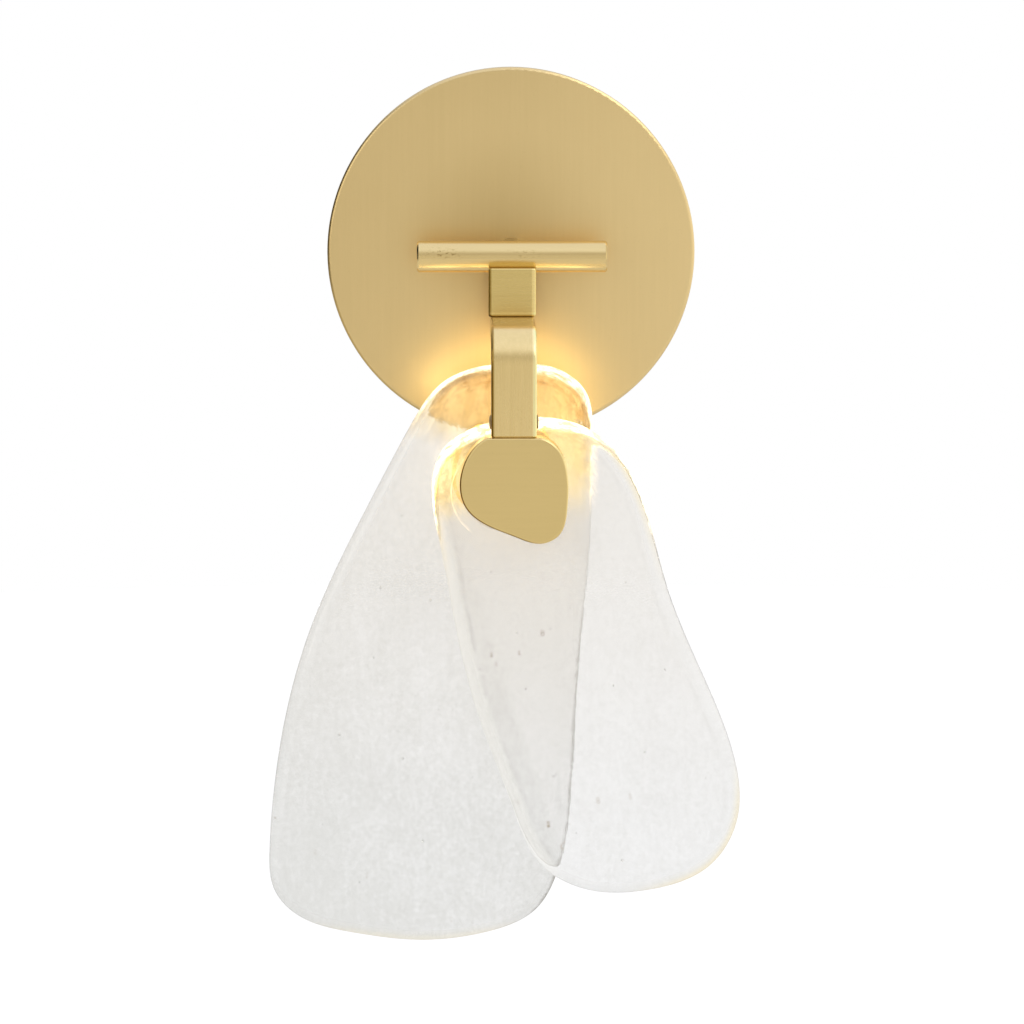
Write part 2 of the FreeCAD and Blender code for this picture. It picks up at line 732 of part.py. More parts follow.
def make_driver():
    """The lamp driver on two studs inside the canopy, with its nuts."""
    body = new_body("led_driver")
    case = new_sketch(body, "XZ_Plane", driver_out)
    draw_rounded_rectangle(case, 0, size.driver_up, size.driver_width, size.driver_height,
                           size.driver_ear_thickness)
    pad(body, case, size.driver_depth)
    ears = new_sketch(body, "XZ_Plane", canopy_inside_out - size.driver_ear_thickness)
    draw_rounded_rectangle(
        ears, 0, size.driver_up, size.driver_width + size.driver_ear_length * 2,
        size.driver_height / 2, size.driver_ear_thickness)
    pad(body, ears, size.driver_ear_thickness)
    holes = new_sketch(body, "XZ_Plane")
    for side in (-1, 1):
        draw_circle(holes, driver_stud_across * side, size.driver_up,
                    size.driver_stud_diameter + size.hole_clearance)
    pocket(body, holes)
    entries = new_sketch(body, "XY_Plane", driver_bottom)
    draw_circle(entries, 0, -strap_lead_out, size.lead_diameter + size.hole_clearance)
    for start in supply_starts():
        draw_circle(entries, start, -strap_lead_out, size.supply_lead_diameter + size.hole_clearance)
    pocket(body, entries, as_size(LEAD_ENTRY) + size.fit_gap, forward=True)
    stud = cylinder(
        "driver_stud", size.driver_stud_diameter, size.driver_stud_length,
        driver_stud_across, canopy_inside_out, size.driver_up, WALLWARDS)
    pair("driver_studs", stud)
    nut_height = size.driver_stud_diameter * 0.8
    nut_out = canopy_inside_out - size.driver_ear_thickness
    blank = hexagon(
        "driver_nut_blank", size.driver_stud_diameter * 1.83, nut_height,
        driver_stud_across, nut_out, size.driver_up, WALLWARDS)
    drill = cylinder(
        "driver_nut_drill", size.driver_stud_diameter + size.fit_gap, nut_height * 3,
        driver_stud_across, nut_out + nut_height, size.driver_up, WALLWARDS)
    pair("driver_nuts", cut("driver_nut", blank, drill))


def supply_starts():
    """Where the two supply leads leave the driver, the inner one first."""
    outer = size.driver_width / 2 - size.driver_ear_thickness * 2.5
    return [outer - size.terminal_pitch * 0.8, outer]


def report_lead(body, route, diameter):
    """Prints a lead's length, its tightest bend and how well its volume agrees."""
    edges = route.Shape.Edges
    length = sum(edge.Length for edge in edges)
    tightest = min(edge.Curve.Radius for edge in edges if edge.Curve.TypeId == "Part::GeomCircle")
    share = body.Shape.Volume / (math.pi * diameter.value ** 2 / 4 * length)
    print(f"{body.Label}: {length:.1f} mm long, tightest bend {tightest:.2f} mm, "
          f"volume {share:.4f} of section times length")


def make_supply_leads():
    """Two leads from the terminal block up to the driver, in one level plane."""
    leads = []
    ends = [terminal_across - size.terminal_pitch, terminal_across + size.terminal_pitch]
    terminal_top = size.terminal_height / 2
    clear = driver_bottom - terminal_top
    shares = (0.35, 0.72)
    for number, (start, end, share) in enumerate(zip(supply_starts(), ends, shares), start=1):
        body = doc.addObject("PartDesign::Body", f"supply_lead_{number}")
        body.Label = f"supply_lead_{number}"
        level = terminal_top + clear * share
        route = new_sketch(body, "XZ_Plane", strap_lead_out)
        draw_route(
            route,
            [(start, driver_bottom + LEAD_ENTRY), (start, level), (end, level), (end, terminal_top - LEAD_ENTRY)],
            [SUPPLY_TURN, SUPPLY_TURN])
        section = new_sketch(body, "XY_Plane", driver_bottom + LEAD_ENTRY)
        draw_circle(section, start, -strap_lead_out, size.supply_lead_diameter)
        swept(body, section, route)
        report_lead(body, route, size.supply_lead_diameter)
        leads.append(body)
    group("supply_leads", leads)


def make_nipple():
    """The hollow tie that clamps canopy, standoff and rod, with washer and nut."""
    start = canopy_inside_out - size.nipple_tail
    length = rod_out - size.nipple_end_gap - start
    turned(
        "tie_nipple", ring_profile(size.nipple_diameter, size.nipple_bore, length),
        0, start, 0, OUTWARDS)
    washer_out = canopy_inside_out - size.nipple_washer_thickness
    turned(
        "nipple_washer",
        ring_profile(size.nipple_washer_diameter, size.nipple_diameter + size.hole_clearance,
                     size.nipple_washer_thickness),
        0, washer_out, 0, OUTWARDS)
    nut_out = washer_out - size.nipple_nut_thickness
    blank = hexagon(
        "nipple_nut_blank", size.nipple_nut_width, size.nipple_nut_thickness, 0, nut_out, 0, OUTWARDS)
    drill = cylinder(
        "nipple_nut_drill", size.nipple_diameter + size.fit_gap, size.nipple_nut_thickness * 3,
        0, nut_out - size.nipple_nut_thickness, 0, OUTWARDS)
    keep(cut("nipple_nut", blank, drill), "nipple_nut")


def make_standoff():
    """A round post whose outer end is coped to sit round the back of the rod."""
    post = cylinder("standoff_post", size.standoff_diameter, size.rod_reach, 0, size.canopy_depth, 0, OUTWARDS)
    bore = cylinder(
        "standoff_bore", size.nipple_diameter + size.hole_clearance, size.rod_reach * 3,
        0, size.canopy_depth - size.rod_reach, 0, OUTWARDS)
    cope = cylinder(
        "standoff_cope", size.rod_diameter + size.fit_gap, size.rod_length,
        -size.rod_length / 2, rod_out, 0, RIGHTWARDS)
    keep(cut("standoff", post, fuse("standoff_tools", bore, cope)), "standoff")


def make_rod():
    body = new_body("cross_rod")
    section = new_sketch(body, "YZ_Plane")
    draw_circle(section, -rod_out, 0, size.rod_diameter)
    pad(body, section, size.rod_length, symmetric=True)
    half = (size.rod_length / 2).value

    def is_rim(edge):
        box = edge.BoundBox
        return box.XLength < 1e-4 and abs(abs(box.XMin) - half) < 1e-4

    chamfer(body, size.rod_chamfer, is_rim)
    thread = size.nipple_diameter + size.fit_gap
    beyond = size.nipple_bore / 2
    from_behind = new_sketch(body, "XZ_Plane", rod_out + beyond)
    draw_circle(from_behind, 0, 0, thread)
    pocket(body, from_behind, size.rod_diameter)
    from_below = new_sketch(body, "XY_Plane", beyond)
    draw_circle(from_below, 0, -rod_out, thread)
    pocket(body, from_below, size.rod_diameter)


def make_block():
    """The block that hangs under the rod, with a saddle that laps its front."""
    body = new_body("arm_block")
    outline = new_sketch(body, "XY_Plane", block_bottom)
    draw_rectangle(outline, 0, -rod_out, size.block_width, size.block_depth)
    pad(body, outline, size.block_height)
    fillet(body, size.block_edge_radius, lambda edge: True)
    saddle = new_sketch(body, "YZ_Plane")
    draw_circle(saddle, -rod_out, 0, size.rod_diameter + size.fit_gap)
    pocket(body, saddle)
    standoff_groove = new_sketch(body, "XZ_Plane", rod_out)
    draw_circle(standoff_groove, 0, 0, size.standoff_diameter + size.fit_gap * 2)
    pocket(body, standoff_groove, size.block_depth)
    bolt_hole = new_sketch(body, "XY_Plane")
    draw_circle(bolt_hole, 0, -rod_out, size.nipple_diameter + size.hole_clearance)
    pocket(body, bolt_hole)
    dowel_hole = new_sketch(body, "XY_Plane", block_bottom)
    draw_circle(dowel_hole, 0, -rod_out - size.arm_dowel_offset, size.arm_dowel_diameter + size.fit_gap)
    pocket(body, dowel_hole, size.arm_dowel_length, forward=True)


def make_arm():
    """The hollow arm: a flat tube that runs out under the block and bends down."""
    body = new_body("arm")
    section = new_sketch(body, "XZ_Plane", arm_rear_out)
    draw_rounded_rectangle(section, 0, arm_level, size.arm_width, size.arm_thickness, size.arm_edge_radius)
    draw_rounded_rectangle(
        section, 0, arm_level, arm_inside_width, arm_inside_thickness, size.arm_edge_radius / 2)
    route = new_sketch(body, "YZ_Plane")
    draw_route(
        route, [(-arm_rear_out, arm_level), (-arm_leg_out, arm_level), (-arm_leg_out, arm_end)],
        [size.arm_bend_radius])
    swept(body, section, route)

    def is_open_end(edge):
        return lies_at_level(arm_end)(edge) and edge.BoundBox.DiagonalLength > 0.1

    def is_outer_rim(edge):
        box = edge.BoundBox
        inner_x = (arm_inside_width / 2).value + 1e-3
        inner_y = (arm_inside_thickness / 2).value + 1e-3
        reaches_side = max(abs(box.XMin), abs(box.XMax)) > inner_x
        reaches_front = max(abs(box.YMin + arm_leg_out.value), abs(box.YMax + arm_leg_out.value)) > inner_y
        return is_open_end(edge) and (reaches_side or reaches_front)

    chamfer(body, size.arm_end_chamfer, is_outer_rim)
    bolt_hole = new_sketch(body, "XY_Plane", arm_level)
    draw_circle(bolt_hole, 0, -rod_out, size.nipple_diameter + size.hole_clearance)
    draw_circle(bolt_hole, 0, -rod_out - size.arm_dowel_offset, size.arm_dowel_diameter + size.fit_gap)
    pocket(body, bolt_hole, size.arm_thickness, forward=True)
    access_hole = new_sketch(body, "XY_Plane", arm_level)
    draw_circle(access_hole, 0, -rod_out, size.access_hole_diameter)
    pocket(body, access_hole, size.arm_thickness)
    screw_holes = new_sketch(body, "YZ_Plane")
    draw_circle(screw_holes, -arm_leg_out, tongue_screw_up, size.tongue_screw_diameter + size.hole_clearance)
    pocket(body, screw_holes)


def make_arm_fixings():
    """The hollow bolt and dowel that hold the arm up, and the arm's two plugs."""
    head = hexagon(
        "arm_bolt_head", size.arm_bolt_head_width, size.arm_bolt_head_height,
        0, rod_out, arm_ceiling - size.arm_bolt_head_height)
    shank_length = -arm_ceiling - size.nipple_end_gap
    shank = cylinder("arm_bolt_shank", size.nipple_diameter, shank_length, 0, rod_out, arm_ceiling)
    bore = cylinder(
        "arm_bolt_bore", size.nipple_bore, shank_length * 2, 0, rod_out, arm_ceiling - shank_length / 2)
    keep(cut("arm_bolt", fuse("arm_bolt_blank", head, shank), bore), "arm_bolt")
    keep(cylinder(
        "arm_dowel", size.arm_dowel_diameter, size.arm_dowel_length,
        0, rod_out + size.arm_dowel_offset, arm_ceiling), "arm_dowel")
    turned(
        "access_plug",
        [(0, 0), (size.access_hole_diameter / 2 - size.fit_gap, 0),
         (size.access_hole_diameter / 2 - size.fit_gap, size.arm_wall), (0, size.arm_wall)],
        0, rod_out, block_bottom - size.arm_thickness)
    body = new_body("arm_end_cap")
    outline = new_sketch(body, "XZ_Plane", arm_rear_out)
    draw_rounded_rectangle(
        outline, 0, arm_level, arm_inside_width - size.fit_gap, arm_inside_thickness - size.fit_gap,
        size.arm_edge_radius / 2)
    pad(body, outline, size.arm_cap_thickness)


def make_tongue_screws():
    """The two low-headed screws in the arm's sides that hold the pebble."""
    screw = turned(
        "tongue_screw",
        screw_profile(size.tongue_screw_diameter, size.tongue_screw_length,
                      size.tongue_screw_head, size.tongue_screw_head_height),
        size.arm_width / 2, arm_leg_out, tongue_screw_up, RIGHTWARDS)
    nodes.remove(screw)
    pair("tongue_screws", screw)


def make_pebble():
    """The pebble with its tongue, drilled for the lead, the stud and the dowel."""
    body = new_body("pebble")
    outline = new_sketch(body, "XZ_Plane", pebble_back_out)
    draw_pebble(outline, ZERO, pebble_centre_up, size.pebble_width, size.pebble_height)
    pad(body, outline, size.pebble_thickness)
    fillet(body, size.pebble_edge_radius, lies_at_out(arm_front_out))
    rooted = size.pebble_thickness / 2
    tongue = new_sketch(body, "XY_Plane", pebble_top - rooted)
    slip = size.fit_gap * 2
    draw_rectangle(tongue, 0, -arm_leg_out, arm_inside_width - slip, arm_inside_thickness - slip)
    pad(body, tongue, rooted + size.tongue_length)
    lead_way = new_sketch(body, "XY_Plane", pebble_top + size.tongue_length)
    draw_circle(lead_way, 0, -arm_leg_out, size.lead_bore)
    pocket(body, lead_way, size.tongue_length + pebble_top - dowel_up + size.lead_bore / 2)
    lead_turn = new_sketch(body, "XZ_Plane", pebble_back_out)
    draw_circle(lead_turn, dowel_across, dowel_up, size.lead_bore)
    pocket(body, lead_turn, arm_leg_out - pebble_back_out + size.lead_bore / 2, forward=True)
    dowel_seat = new_sketch(body, "XZ_Plane", pebble_back_out)
    draw_circle(dowel_seat, dowel_across, dowel_up, size.dowel_diameter + size.fit_gap)
    pocket(body, dowel_seat, size.dowel_seat, forward=True)
    stud_thread = new_sketch(body, "XZ_Plane", pebble_back_out)
    draw_circle(stud_thread, size.clamp_across, clamp_up, size.stud_diameter + size.fit_gap)
    pocket(body, stud_thread, size.stud_engagement + size.fit_gap, forward=True)
    screw_threads = new_sketch(body, "YZ_Plane")
    draw_circle(screw_threads, -arm_leg_out, tongue_screw_up, size.tongue_screw_diameter + size.fit_gap)
    pocket(body, screw_threads)


def make_petal(label, edge, stud, out, width, height):
    """A thick glass petal with full-round edges and two drilled holes."""
    body = new_body(label)
    outline = new_sketch(body, "XZ_Plane", out)
    draw_petal(outline, edge, stud, width, height)
    pad(body, outline, size.glass_thickness)
    front, back = lies_at_out(out + size.glass_thickness), lies_at_out(out)
    fillet(body, size.glass_edge_radius, lambda each: front(each) or back(each))
    holes = new_sketch(body, "XZ_Plane", out)
    draw_circle(holes, size.clamp_across, clamp_up, stud_sleeve_diameter + size.hole_clearance)
    draw_circle(holes, dowel_across, dowel_up, dowel_sleeve_diameter + size.hole_clearance)
    pocket(body, holes, size.glass_thickness, forward=True)


def drill_clamp_holes(body, out, length):
    """The stud's and the dowel's clearance holes through a piece of the stack."""
    holes = new_sketch(body, "XZ_Plane", out)
    draw_circle(holes, size.clamp_across, clamp_up, stud_hole_diameter)
    draw_circle(holes, dowel_across, dowel_up, dowel_hole_diameter)
    pocket(body, holes, length, forward=True)


def make_round_layer(label, out, thickness, diameter):
    """A round disc of the stack about the clamp stud."""
    body = new_body(label)
    outline = new_sketch(body, "XZ_Plane", out)
    draw_circle(outline, size.clamp_across, clamp_up, diameter)
    pad(body, outline, thickness)
    drill_clamp_holes(body, out, thickness)
    return body


def make_gaskets():
    body = new_body("pebble_gasket")
    outline = new_sketch(body, "XZ_Plane", pebble_back_out - size.gasket_thickness)
    draw_pebble(
        outline, ZERO, pebble_centre_up, size.pebble_width - size.gasket_inset * 2,
        size.pebble_height - size.gasket_inset * 2)
    pad(body, outline, size.gasket_thickness)
    drill_clamp_holes(body, pebble_back_out - size.gasket_thickness, size.gasket_thickness)
    for label, out in (
            ("drum_front_gasket", drum_front_out), ("drum_rear_gasket", drum_rear_out - size.gasket_thickness)):
        layer = drum_layer(label, out, size.gasket_thickness, [size.gasket_inset])
        drill_clamp_holes(layer, out, size.gasket_thickness)
    make_round_layer(
        "rear_gasket", back_glass_out - size.gasket_thickness, size.gasket_thickness,
        size.rear_disc_diameter)


def make_sleeves():
    """Soft sleeves that keep the stud and the dowels off the glass."""
    stud_sleeves = []
    dowel_sleeves = []
    for number, out in enumerate((front_glass_out, back_glass_out), start=1):
        around_stud = turned(
            f"stud_sleeve_{number}",
            ring_profile(stud_sleeve_diameter, stud_hole_diameter, size.glass_thickness),
            size.clamp_across, out, clamp_up, OUTWARDS)
        around_dowel = turned(
            f"dowel_sleeve_{number}",
            ring_profile(dowel_sleeve_diameter, dowel_hole_diameter, size.glass_thickness),
            dowel_across, out, dowel_up, OUTWARDS)
        nodes.remove(around_stud)
        nodes.remove(around_dowel)
        stud_sleeves.append(around_stud)
        dowel_sleeves.append(around_dowel)
    group("stud_sleeves", stud_sleeves)
    group("dowel_sleeves", dowel_sleeves)


def make_clamp():
    """The stud, the two hollow dowels and what closes the stack behind."""
    tail = size.cap_nut_height
    start = rear_washer_out - tail
    bevel = size.rod_chamfer
    radius = size.stud_diameter / 2
    length = pebble_back_out + size.stud_engagement - start
    turned(
        "clamp_stud",
        [(0, 0), (radius - bevel, 0), (radius, bevel), (radius, length - bevel),
         (radius - bevel, length), (0, length)],
        size.clamp_across, start, clamp_up, OUTWARDS)
    front_start = drum_front_out - size.drum_plate_thickness * 1.25
    turned(
        "front_dowel",
        ring_profile(size.dowel_diameter, size.dowel_bore,
                     pebble_back_out + size.dowel_seat - front_start),
        dowel_across, front_start, dowel_up, OUTWARDS)
    rear_start = rear_disc_out + size.rear_disc_thickness / 4
    turned(
        "rear_dowel",
        ring_profile(size.dowel_diameter, size.dowel_bore, drum_core_out - rear_start),
        dowel_across, rear_start, dowel_up, OUTWARDS)
    disc = make_round_layer("rear_disc", rear_disc_out, size.rear_disc_thickness, size.rear_disc_diameter)
    rim = size.rear_disc_diameter.value / 2

    def is_disc_rim(edge):
        return lies_at_out(rear_disc_out)(edge) and edge.BoundBox.XLength > rim

    fillet(disc, size.block_edge_radius, is_disc_rim)
    turned(
        "rear_washer",
        ring_profile(size.rear_washer_diameter, stud_hole_diameter, size.rear_washer_thickness),
        size.clamp_across, rear_washer_out, clamp_up, OUTWARDS)
    flats = hexagon(
        "cap_nut_flats", size.cap_nut_width, size.cap_nut_height,
        size.clamp_across, rear_washer_out, clamp_up, WALLWARDS)
    dome_radius = size.cap_nut_width / 2 - size.rod_chamfer
    dome = doc.addObject("Part::Sphere", "cap_nut_dome")
    bind(dome, "Radius", dome_radius)
    dome.Angle1 = 0
    place(dome, size.clamp_across, rear_washer_out - size.cap_nut_height, clamp_up, WALLWARDS)
    thread = cylinder(
        "cap_nut_thread", size.stud_diameter + size.fit_gap, tail + size.rod_chamfer,
        size.clamp_across, rear_washer_out, clamp_up, WALLWARDS)
    keep(cut("cap_nut", fuse("cap_nut_blank", flats, dome), thread), "cap_nut")


def drum_layer(label, out, thickness, insets):
    """A flat layer of the lamp drum between one or two pebble outlines."""
    body = new_body(label)
    outline = new_sketch(body, "XZ_Plane", out)
    for inset in insets:
        draw_pebble(
            outline, drum_across, drum_up, size.pebble_width - inset * 2, size.pebble_height - inset * 2)
    pad(body, outline, thickness)
    return body


def make_drum():
    """The lamp drum between the petals: plates, core, strip of lamps, diffuser."""
    plate = size.drum_plate_thickness
    for label, out in (("drum_front_plate", drum_front_out - plate), ("drum_rear_plate", drum_rear_out)):
        body = drum_layer(label, out, plate, [ZERO])
        drill_clamp_holes(body, out, plate)
    core = drum_layer("drum_core", drum_core_out, size.drum_core_thickness, [size.drum_core_inset])
    drill_clamp_holes(core, drum_core_out, size.drum_core_thickness)
    slot_width = size.dowel_diameter + size.hole_clearance
    slot_top = drum_up + size.pebble_height / 2
    slot = new_sketch(core, "XZ_Plane", drum_core_out + size.drum_core_thickness)
    slot_height = slot_top - dowel_up
    draw_rectangle(slot, dowel_across, dowel_up + slot_height / 2, slot_width, slot_height)
    pocket(core, slot, size.drum_core_thickness * 0.7)
    inner = size.drum_core_inset - size.fit_gap / 2
    strip_out = drum_core_out + (size.drum_core_thickness - size.led_strip_width) / 2
    drum_layer("led_strip", strip_out, size.led_strip_width, [inner - size.led_strip_thickness, inner])
    make_leds(strip_out + size.led_strip_width / 2, inner - size.led_strip_thickness)
    drum_layer(
        "diffuser_band", drum_core_out, size.drum_core_thickness,
        [size.diffuser_inset, size.diffuser_inset + size.diffuser_wall])


def make_leds(out, inset):
    """Small lamps spaced evenly round the strip, each square to its surface."""
    width = (size.pebble_width - inset * 2).value
    height = (size.pebble_height - inset * 2).value
    left, top = drum_across.value - width / 2, drum_up.value + height / 2
    points = edge_points(PEBBLE_FRACTIONS, left, top, width, height)
    curve = Part.BSplineCurve()
    curve.interpolate(Points=points)
    spots = curve.discretize(Number=LED_COUNT + 1)[:-1]
    lamps = []
    for spot in spots:
        along = curve.tangent(curve.parameter(spot))[0]
        away = Vector(-along.y, along.x, 0)
        box = Part.makeBox(
            size.led_length.value, size.led_height.value, size.led_width.value,
            Vector(-size.led_length.value / 2, size.fit_gap.value, -size.led_width.value / 2))
        turn = Rotation(Vector(along.x, 0, along.y), Vector(away.x, 0, away.y), Vector(0, 1, 0), "XYZ")
        box.Placement = Placement(Vector(spot.x, -out.value, spot.y), turn).multiply(box.Placement)
        lamps.append(box)
    feature = doc.addObject("Part::Feature", "leds")
    feature.Shape = Part.makeCompound(lamps)
    feature.Placement = Placement()
    keep(feature, "leds")


def make_lead():
    """The lead from the driver to the lamps, held in the bores all the way."""
    body = new_body("lamp_lead")
    drum_out = drum_core_out + size.drum_core_thickness / 2
    arm_run = arm_ceiling - size.arm_bolt_head_height - BLOCK_TURN
    strip_inside = drum_up + size.pebble_height / 2 - size.drum_core_inset
    route = new_sketch(body, "YZ_Plane")
    start = driver_bottom + LEAD_ENTRY
    draw_route(route, [
        (-strap_lead_out, start), (-strap_lead_out, ZERO), (-rod_out, ZERO), (-rod_out, arm_run),
        (-arm_leg_out, arm_run), (-arm_leg_out, dowel_up), (-drum_out, dowel_up), (-drum_out, strip_inside),
    ], [CANOPY_TURN, ROD_TURN, BLOCK_TURN, size.arm_bend_radius, PEBBLE_TURN, DRUM_TURN])
    section = new_sketch(body, "XY_Plane", start)
    draw_circle(section, 0, -strap_lead_out, size.lead_diameter)
    swept(body, section, route)
    report_lead(body, route, size.lead_diameter)


def make_all():
    make_strap()
    make_strap_fittings()
    make_canopy()
    make_canopy_fixings()
    make_driver()
    make_supply_leads()
    make_nipple()
    make_standoff()
    make_rod()
    make_block()
    make_arm()
    make_arm_fixings()
    make_tongue_screws()
    make_pebble()
    make_petal("front_glass_petal", FRONT_PETAL_FRACTIONS, FRONT_PETAL_STUD, front_glass_out,
               size.front_petal_width, size.front_petal_height)
    make_petal("back_glass_petal", BACK_PETAL_FRACTIONS, BACK_PETAL_STUD, back_glass_out,
               size.back_petal_width, size.back_petal_height)
    make_gaskets()
    make_sleeves()
    make_drum()
    make_clamp()
    make_lead()


def check_and_write():
    """Stops at any failed object or bad shape, then writes one file a node."""
    doc.recompute()
    for each in doc.Objects:
        if "Invalid" in each.State or "Error" in each.State:
            raise RuntimeError(f"{each.Label} failed: {each.State}")
    for part in nodes:
        if part.Shape.isNull() or not part.Shape.isValid() or not part.Shape.Solids:
            raise RuntimeError(f"{part.Label} has no valid solid")
    os.makedirs("parts", exist_ok=True)
    for part in nodes:
        part.Shape.exportStep(f"parts/{part.Label}.step")
    print(f"{len(nodes)} nodes written")


make_all()
check_and_write()
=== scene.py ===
import json
import math

import bmesh
import bpy
import numpy as np
from bpy.props import FloatProperty, FloatVectorProperty, PointerProperty
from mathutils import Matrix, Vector, geometry, noise


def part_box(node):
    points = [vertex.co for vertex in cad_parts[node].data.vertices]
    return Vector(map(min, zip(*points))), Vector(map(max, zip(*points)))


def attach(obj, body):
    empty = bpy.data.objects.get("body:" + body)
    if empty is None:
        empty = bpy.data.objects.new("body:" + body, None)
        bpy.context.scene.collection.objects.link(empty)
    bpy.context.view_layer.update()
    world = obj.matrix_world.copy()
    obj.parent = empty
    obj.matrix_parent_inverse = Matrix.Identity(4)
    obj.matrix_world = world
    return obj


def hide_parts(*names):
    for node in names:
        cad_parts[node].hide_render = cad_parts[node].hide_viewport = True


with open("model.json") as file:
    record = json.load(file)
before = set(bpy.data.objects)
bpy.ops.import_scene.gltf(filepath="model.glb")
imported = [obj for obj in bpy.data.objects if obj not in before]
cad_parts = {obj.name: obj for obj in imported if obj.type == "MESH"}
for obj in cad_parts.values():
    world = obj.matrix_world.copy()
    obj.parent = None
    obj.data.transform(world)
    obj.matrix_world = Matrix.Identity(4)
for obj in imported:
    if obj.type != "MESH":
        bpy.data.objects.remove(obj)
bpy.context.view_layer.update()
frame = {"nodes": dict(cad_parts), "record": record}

bl_info = {
    "name": "Shell wall sconce",
    "version": (1, 0, 0),
    "blender": (4, 5, 0),
    "location": "View3D > Sidebar > Sconce",
    "description": "Dresses the packed frame of a brass wall sconce with two thick glass petals",
    "category": "Add Mesh",
}

# Row frame: +X right, +Z up, +Y into the wall; the lamp stands out towards -Y.
MM = 0.001

# The edge of each glass petal as fractions of its width and height, clockwise
# from the top, with the size of that box and the place of its top left corner.
# Its flaws are rings and specks in the cast, listed with one wide darker patch: across, up,
# radius and width of the line, all in mm, and darkness.
BACK_PETAL = {
    "node": "back_glass_petal",
    "edge": [
        (0.762, 0.0), (0.902, 0.012), (0.983, 0.052), (1.0, 0.115), (0.993, 0.297),
        (0.962, 0.496), (0.941, 0.701), (0.911, 0.846), (0.823, 0.949), (0.67, 0.987),
        (0.464, 1.0), (0.252, 0.986), (0.084, 0.955), (0.015, 0.912), (0.0, 0.84),
        (0.021, 0.708), (0.124, 0.466), (0.312, 0.241), (0.44, 0.108), (0.543, 0.032),
    ],
    "size": (164.6 * MM, 296.7 * MM),
    "corner": (-124.4 * MM, -51.9 * MM),
    "flaws": [
        (26.2, -298.4, 1.9, 0.8, 0.90), (-74.6, -314.6, 0.0, 1.0, 0.35),
        (-31.4, -337.6, 0.0, 0.9, 0.35), (-121.1, -283.8, 0.0, 0.9, 0.60),
        (-100.9, -302.0, 0.0, 1.3, 0.30), (-34.5, -84.5, 0.0, 13.0, 0.28),
    ],
}
FRONT_PETAL = {
    "node": "front_glass_petal",
    "edge": [
        (0.355, 0.0), (0.491, 0.02), (0.614, 0.089), (0.698, 0.207), (0.763, 0.356),
        (0.873, 0.529), (0.975, 0.693), (0.995, 0.845), (0.907, 0.943), (0.705, 0.995),
        (0.504, 0.994), (0.358, 0.944), (0.257, 0.813), (0.153, 0.634), (0.069, 0.419),
        (0.023, 0.257), (0.0, 0.149), (0.036, 0.066), (0.121, 0.026), (0.238, 0.004),
    ],
    "size": (154.1 * MM, 241.0 * MM),
    "corner": (-40.6 * MM, -76.1 * MM),
    "flaws": [
        (14.4, -184.3, 0.8, 0.6, 0.50), (-11.1, -195.4, 0.0, 0.9, 0.80),
        (2.9, -194.4, 0.0, 0.9, 0.80), (-8.6, -200.0, 0.0, 1.4, 0.30),
        (42.5, -269.6, 0.7, 0.6, 0.45), (58.6, -267.6, 0.5, 0.6, 0.35),
        (17.5, -281.8, 0.0, 1.5, 0.95), (2.4, -270.0, 0.0, 1.6, 0.25),
    ],
}

# The slab: half its thickness, how far its round edge reaches in, and how finely
# the edge, its roundness and the waved faces are drawn. The waves fade out near
# the edge. HOLES are the middles and radii of the bores for the stud and dowels.
GLASS_HALF = 6.0 * MM
GLASS_EDGE = 5.7 * MM
SPLINE_STEPS = 60
EDGE_SAMPLES = 420
EDGE_RINGS = 10
FACE_GRID = 4.0 * MM
GRID_ROW_SHARE = 0.87
EDGE_CLEARANCE = FACE_GRID * 0.6
HOLE_CLEARANCE = FACE_GRID * 0.5
WAVE_FADE = 8 * MM
HOLE_SAMPLES = 48
HOLES = (
    (Vector((-4.0, 0, -115.0)) * MM, 7.15 * MM),
    (Vector((0, 0, -99.0)) * MM, 4.275 * MM),
)
SEED_SHEET_INSET = GLASS_EDGE * 1.6
SEED_SHEET_SKIP = 6
LAMP_CENTRE = Vector((-4.0, -101.0, -108.0)) * MM

WELD_DISTANCE = 2e-6
METAL_SMOOTH_ANGLE = 35.0
GLASS_SMOOTH_ANGLE = 50.0

# Brass: noise scales across and along its brushing, and the shares of its colour
# where it is lightest and darkest.
BRUSH_FINE = 2600.0
BRUSH_COARSE = 60.0
WIDE_STREAK = 5
BRASS_LIGHT = (1.28, 1.32, 1.42)
BRASS_DARK = (0.72, 0.68, 0.58)
DARK_BRASS = (0.30, 0.20, 0.09)

WHITE = (1.0, 1.0, 1.0)
BLACK = (0.0, 0.0, 0.0)
UPPER_WARM_LIGHT = (0.985, 0.930, 0.845)
PALE_RIM_HIGHLIGHT = (0.985, 0.985, 0.975)
SECOND_SHADE_LINE = (0.74, 0.73, 0.70)
OUTER_SHADE_LINE = (0.22, 0.20, 0.15)
FLAW_BROWN = (0.40, 0.29, 0.17)
GOLDEN_EDGE_LIGHT = (1.0, 0.91, 0.66)
PALE_WARM_LIGHT = (0.99, 0.87, 0.54)
BROWN_WARM_LIGHT = (0.80, 0.56, 0.24)
GLASS_SHADOW = (0.93, 0.92, 0.90)


class Link:
    """One output of a node. Arithmetic on it adds the Math nodes."""

    def __init__(self, graph, socket):
        self.graph = graph
        self.socket = socket

    def __add__(self, other):
        return self.graph.math("ADD", self, other)

    __radd__ = __add__

    def __sub__(self, other):
        return self.graph.math("SUBTRACT", self, other)

    def __rsub__(self, other):
        return self.graph.math("SUBTRACT", other, self)

    def __mul__(self, other):
        return self.graph.math("MULTIPLY", self, other)

    __rmul__ = __mul__

    def __truediv__(self, other):
        return self.graph.math("DIVIDE", self, other)

    def __neg__(self):
        return self.graph.math("MULTIPLY", self, -1)

    def __abs__(self):
        return self.graph.math("ABSOLUTE", self)


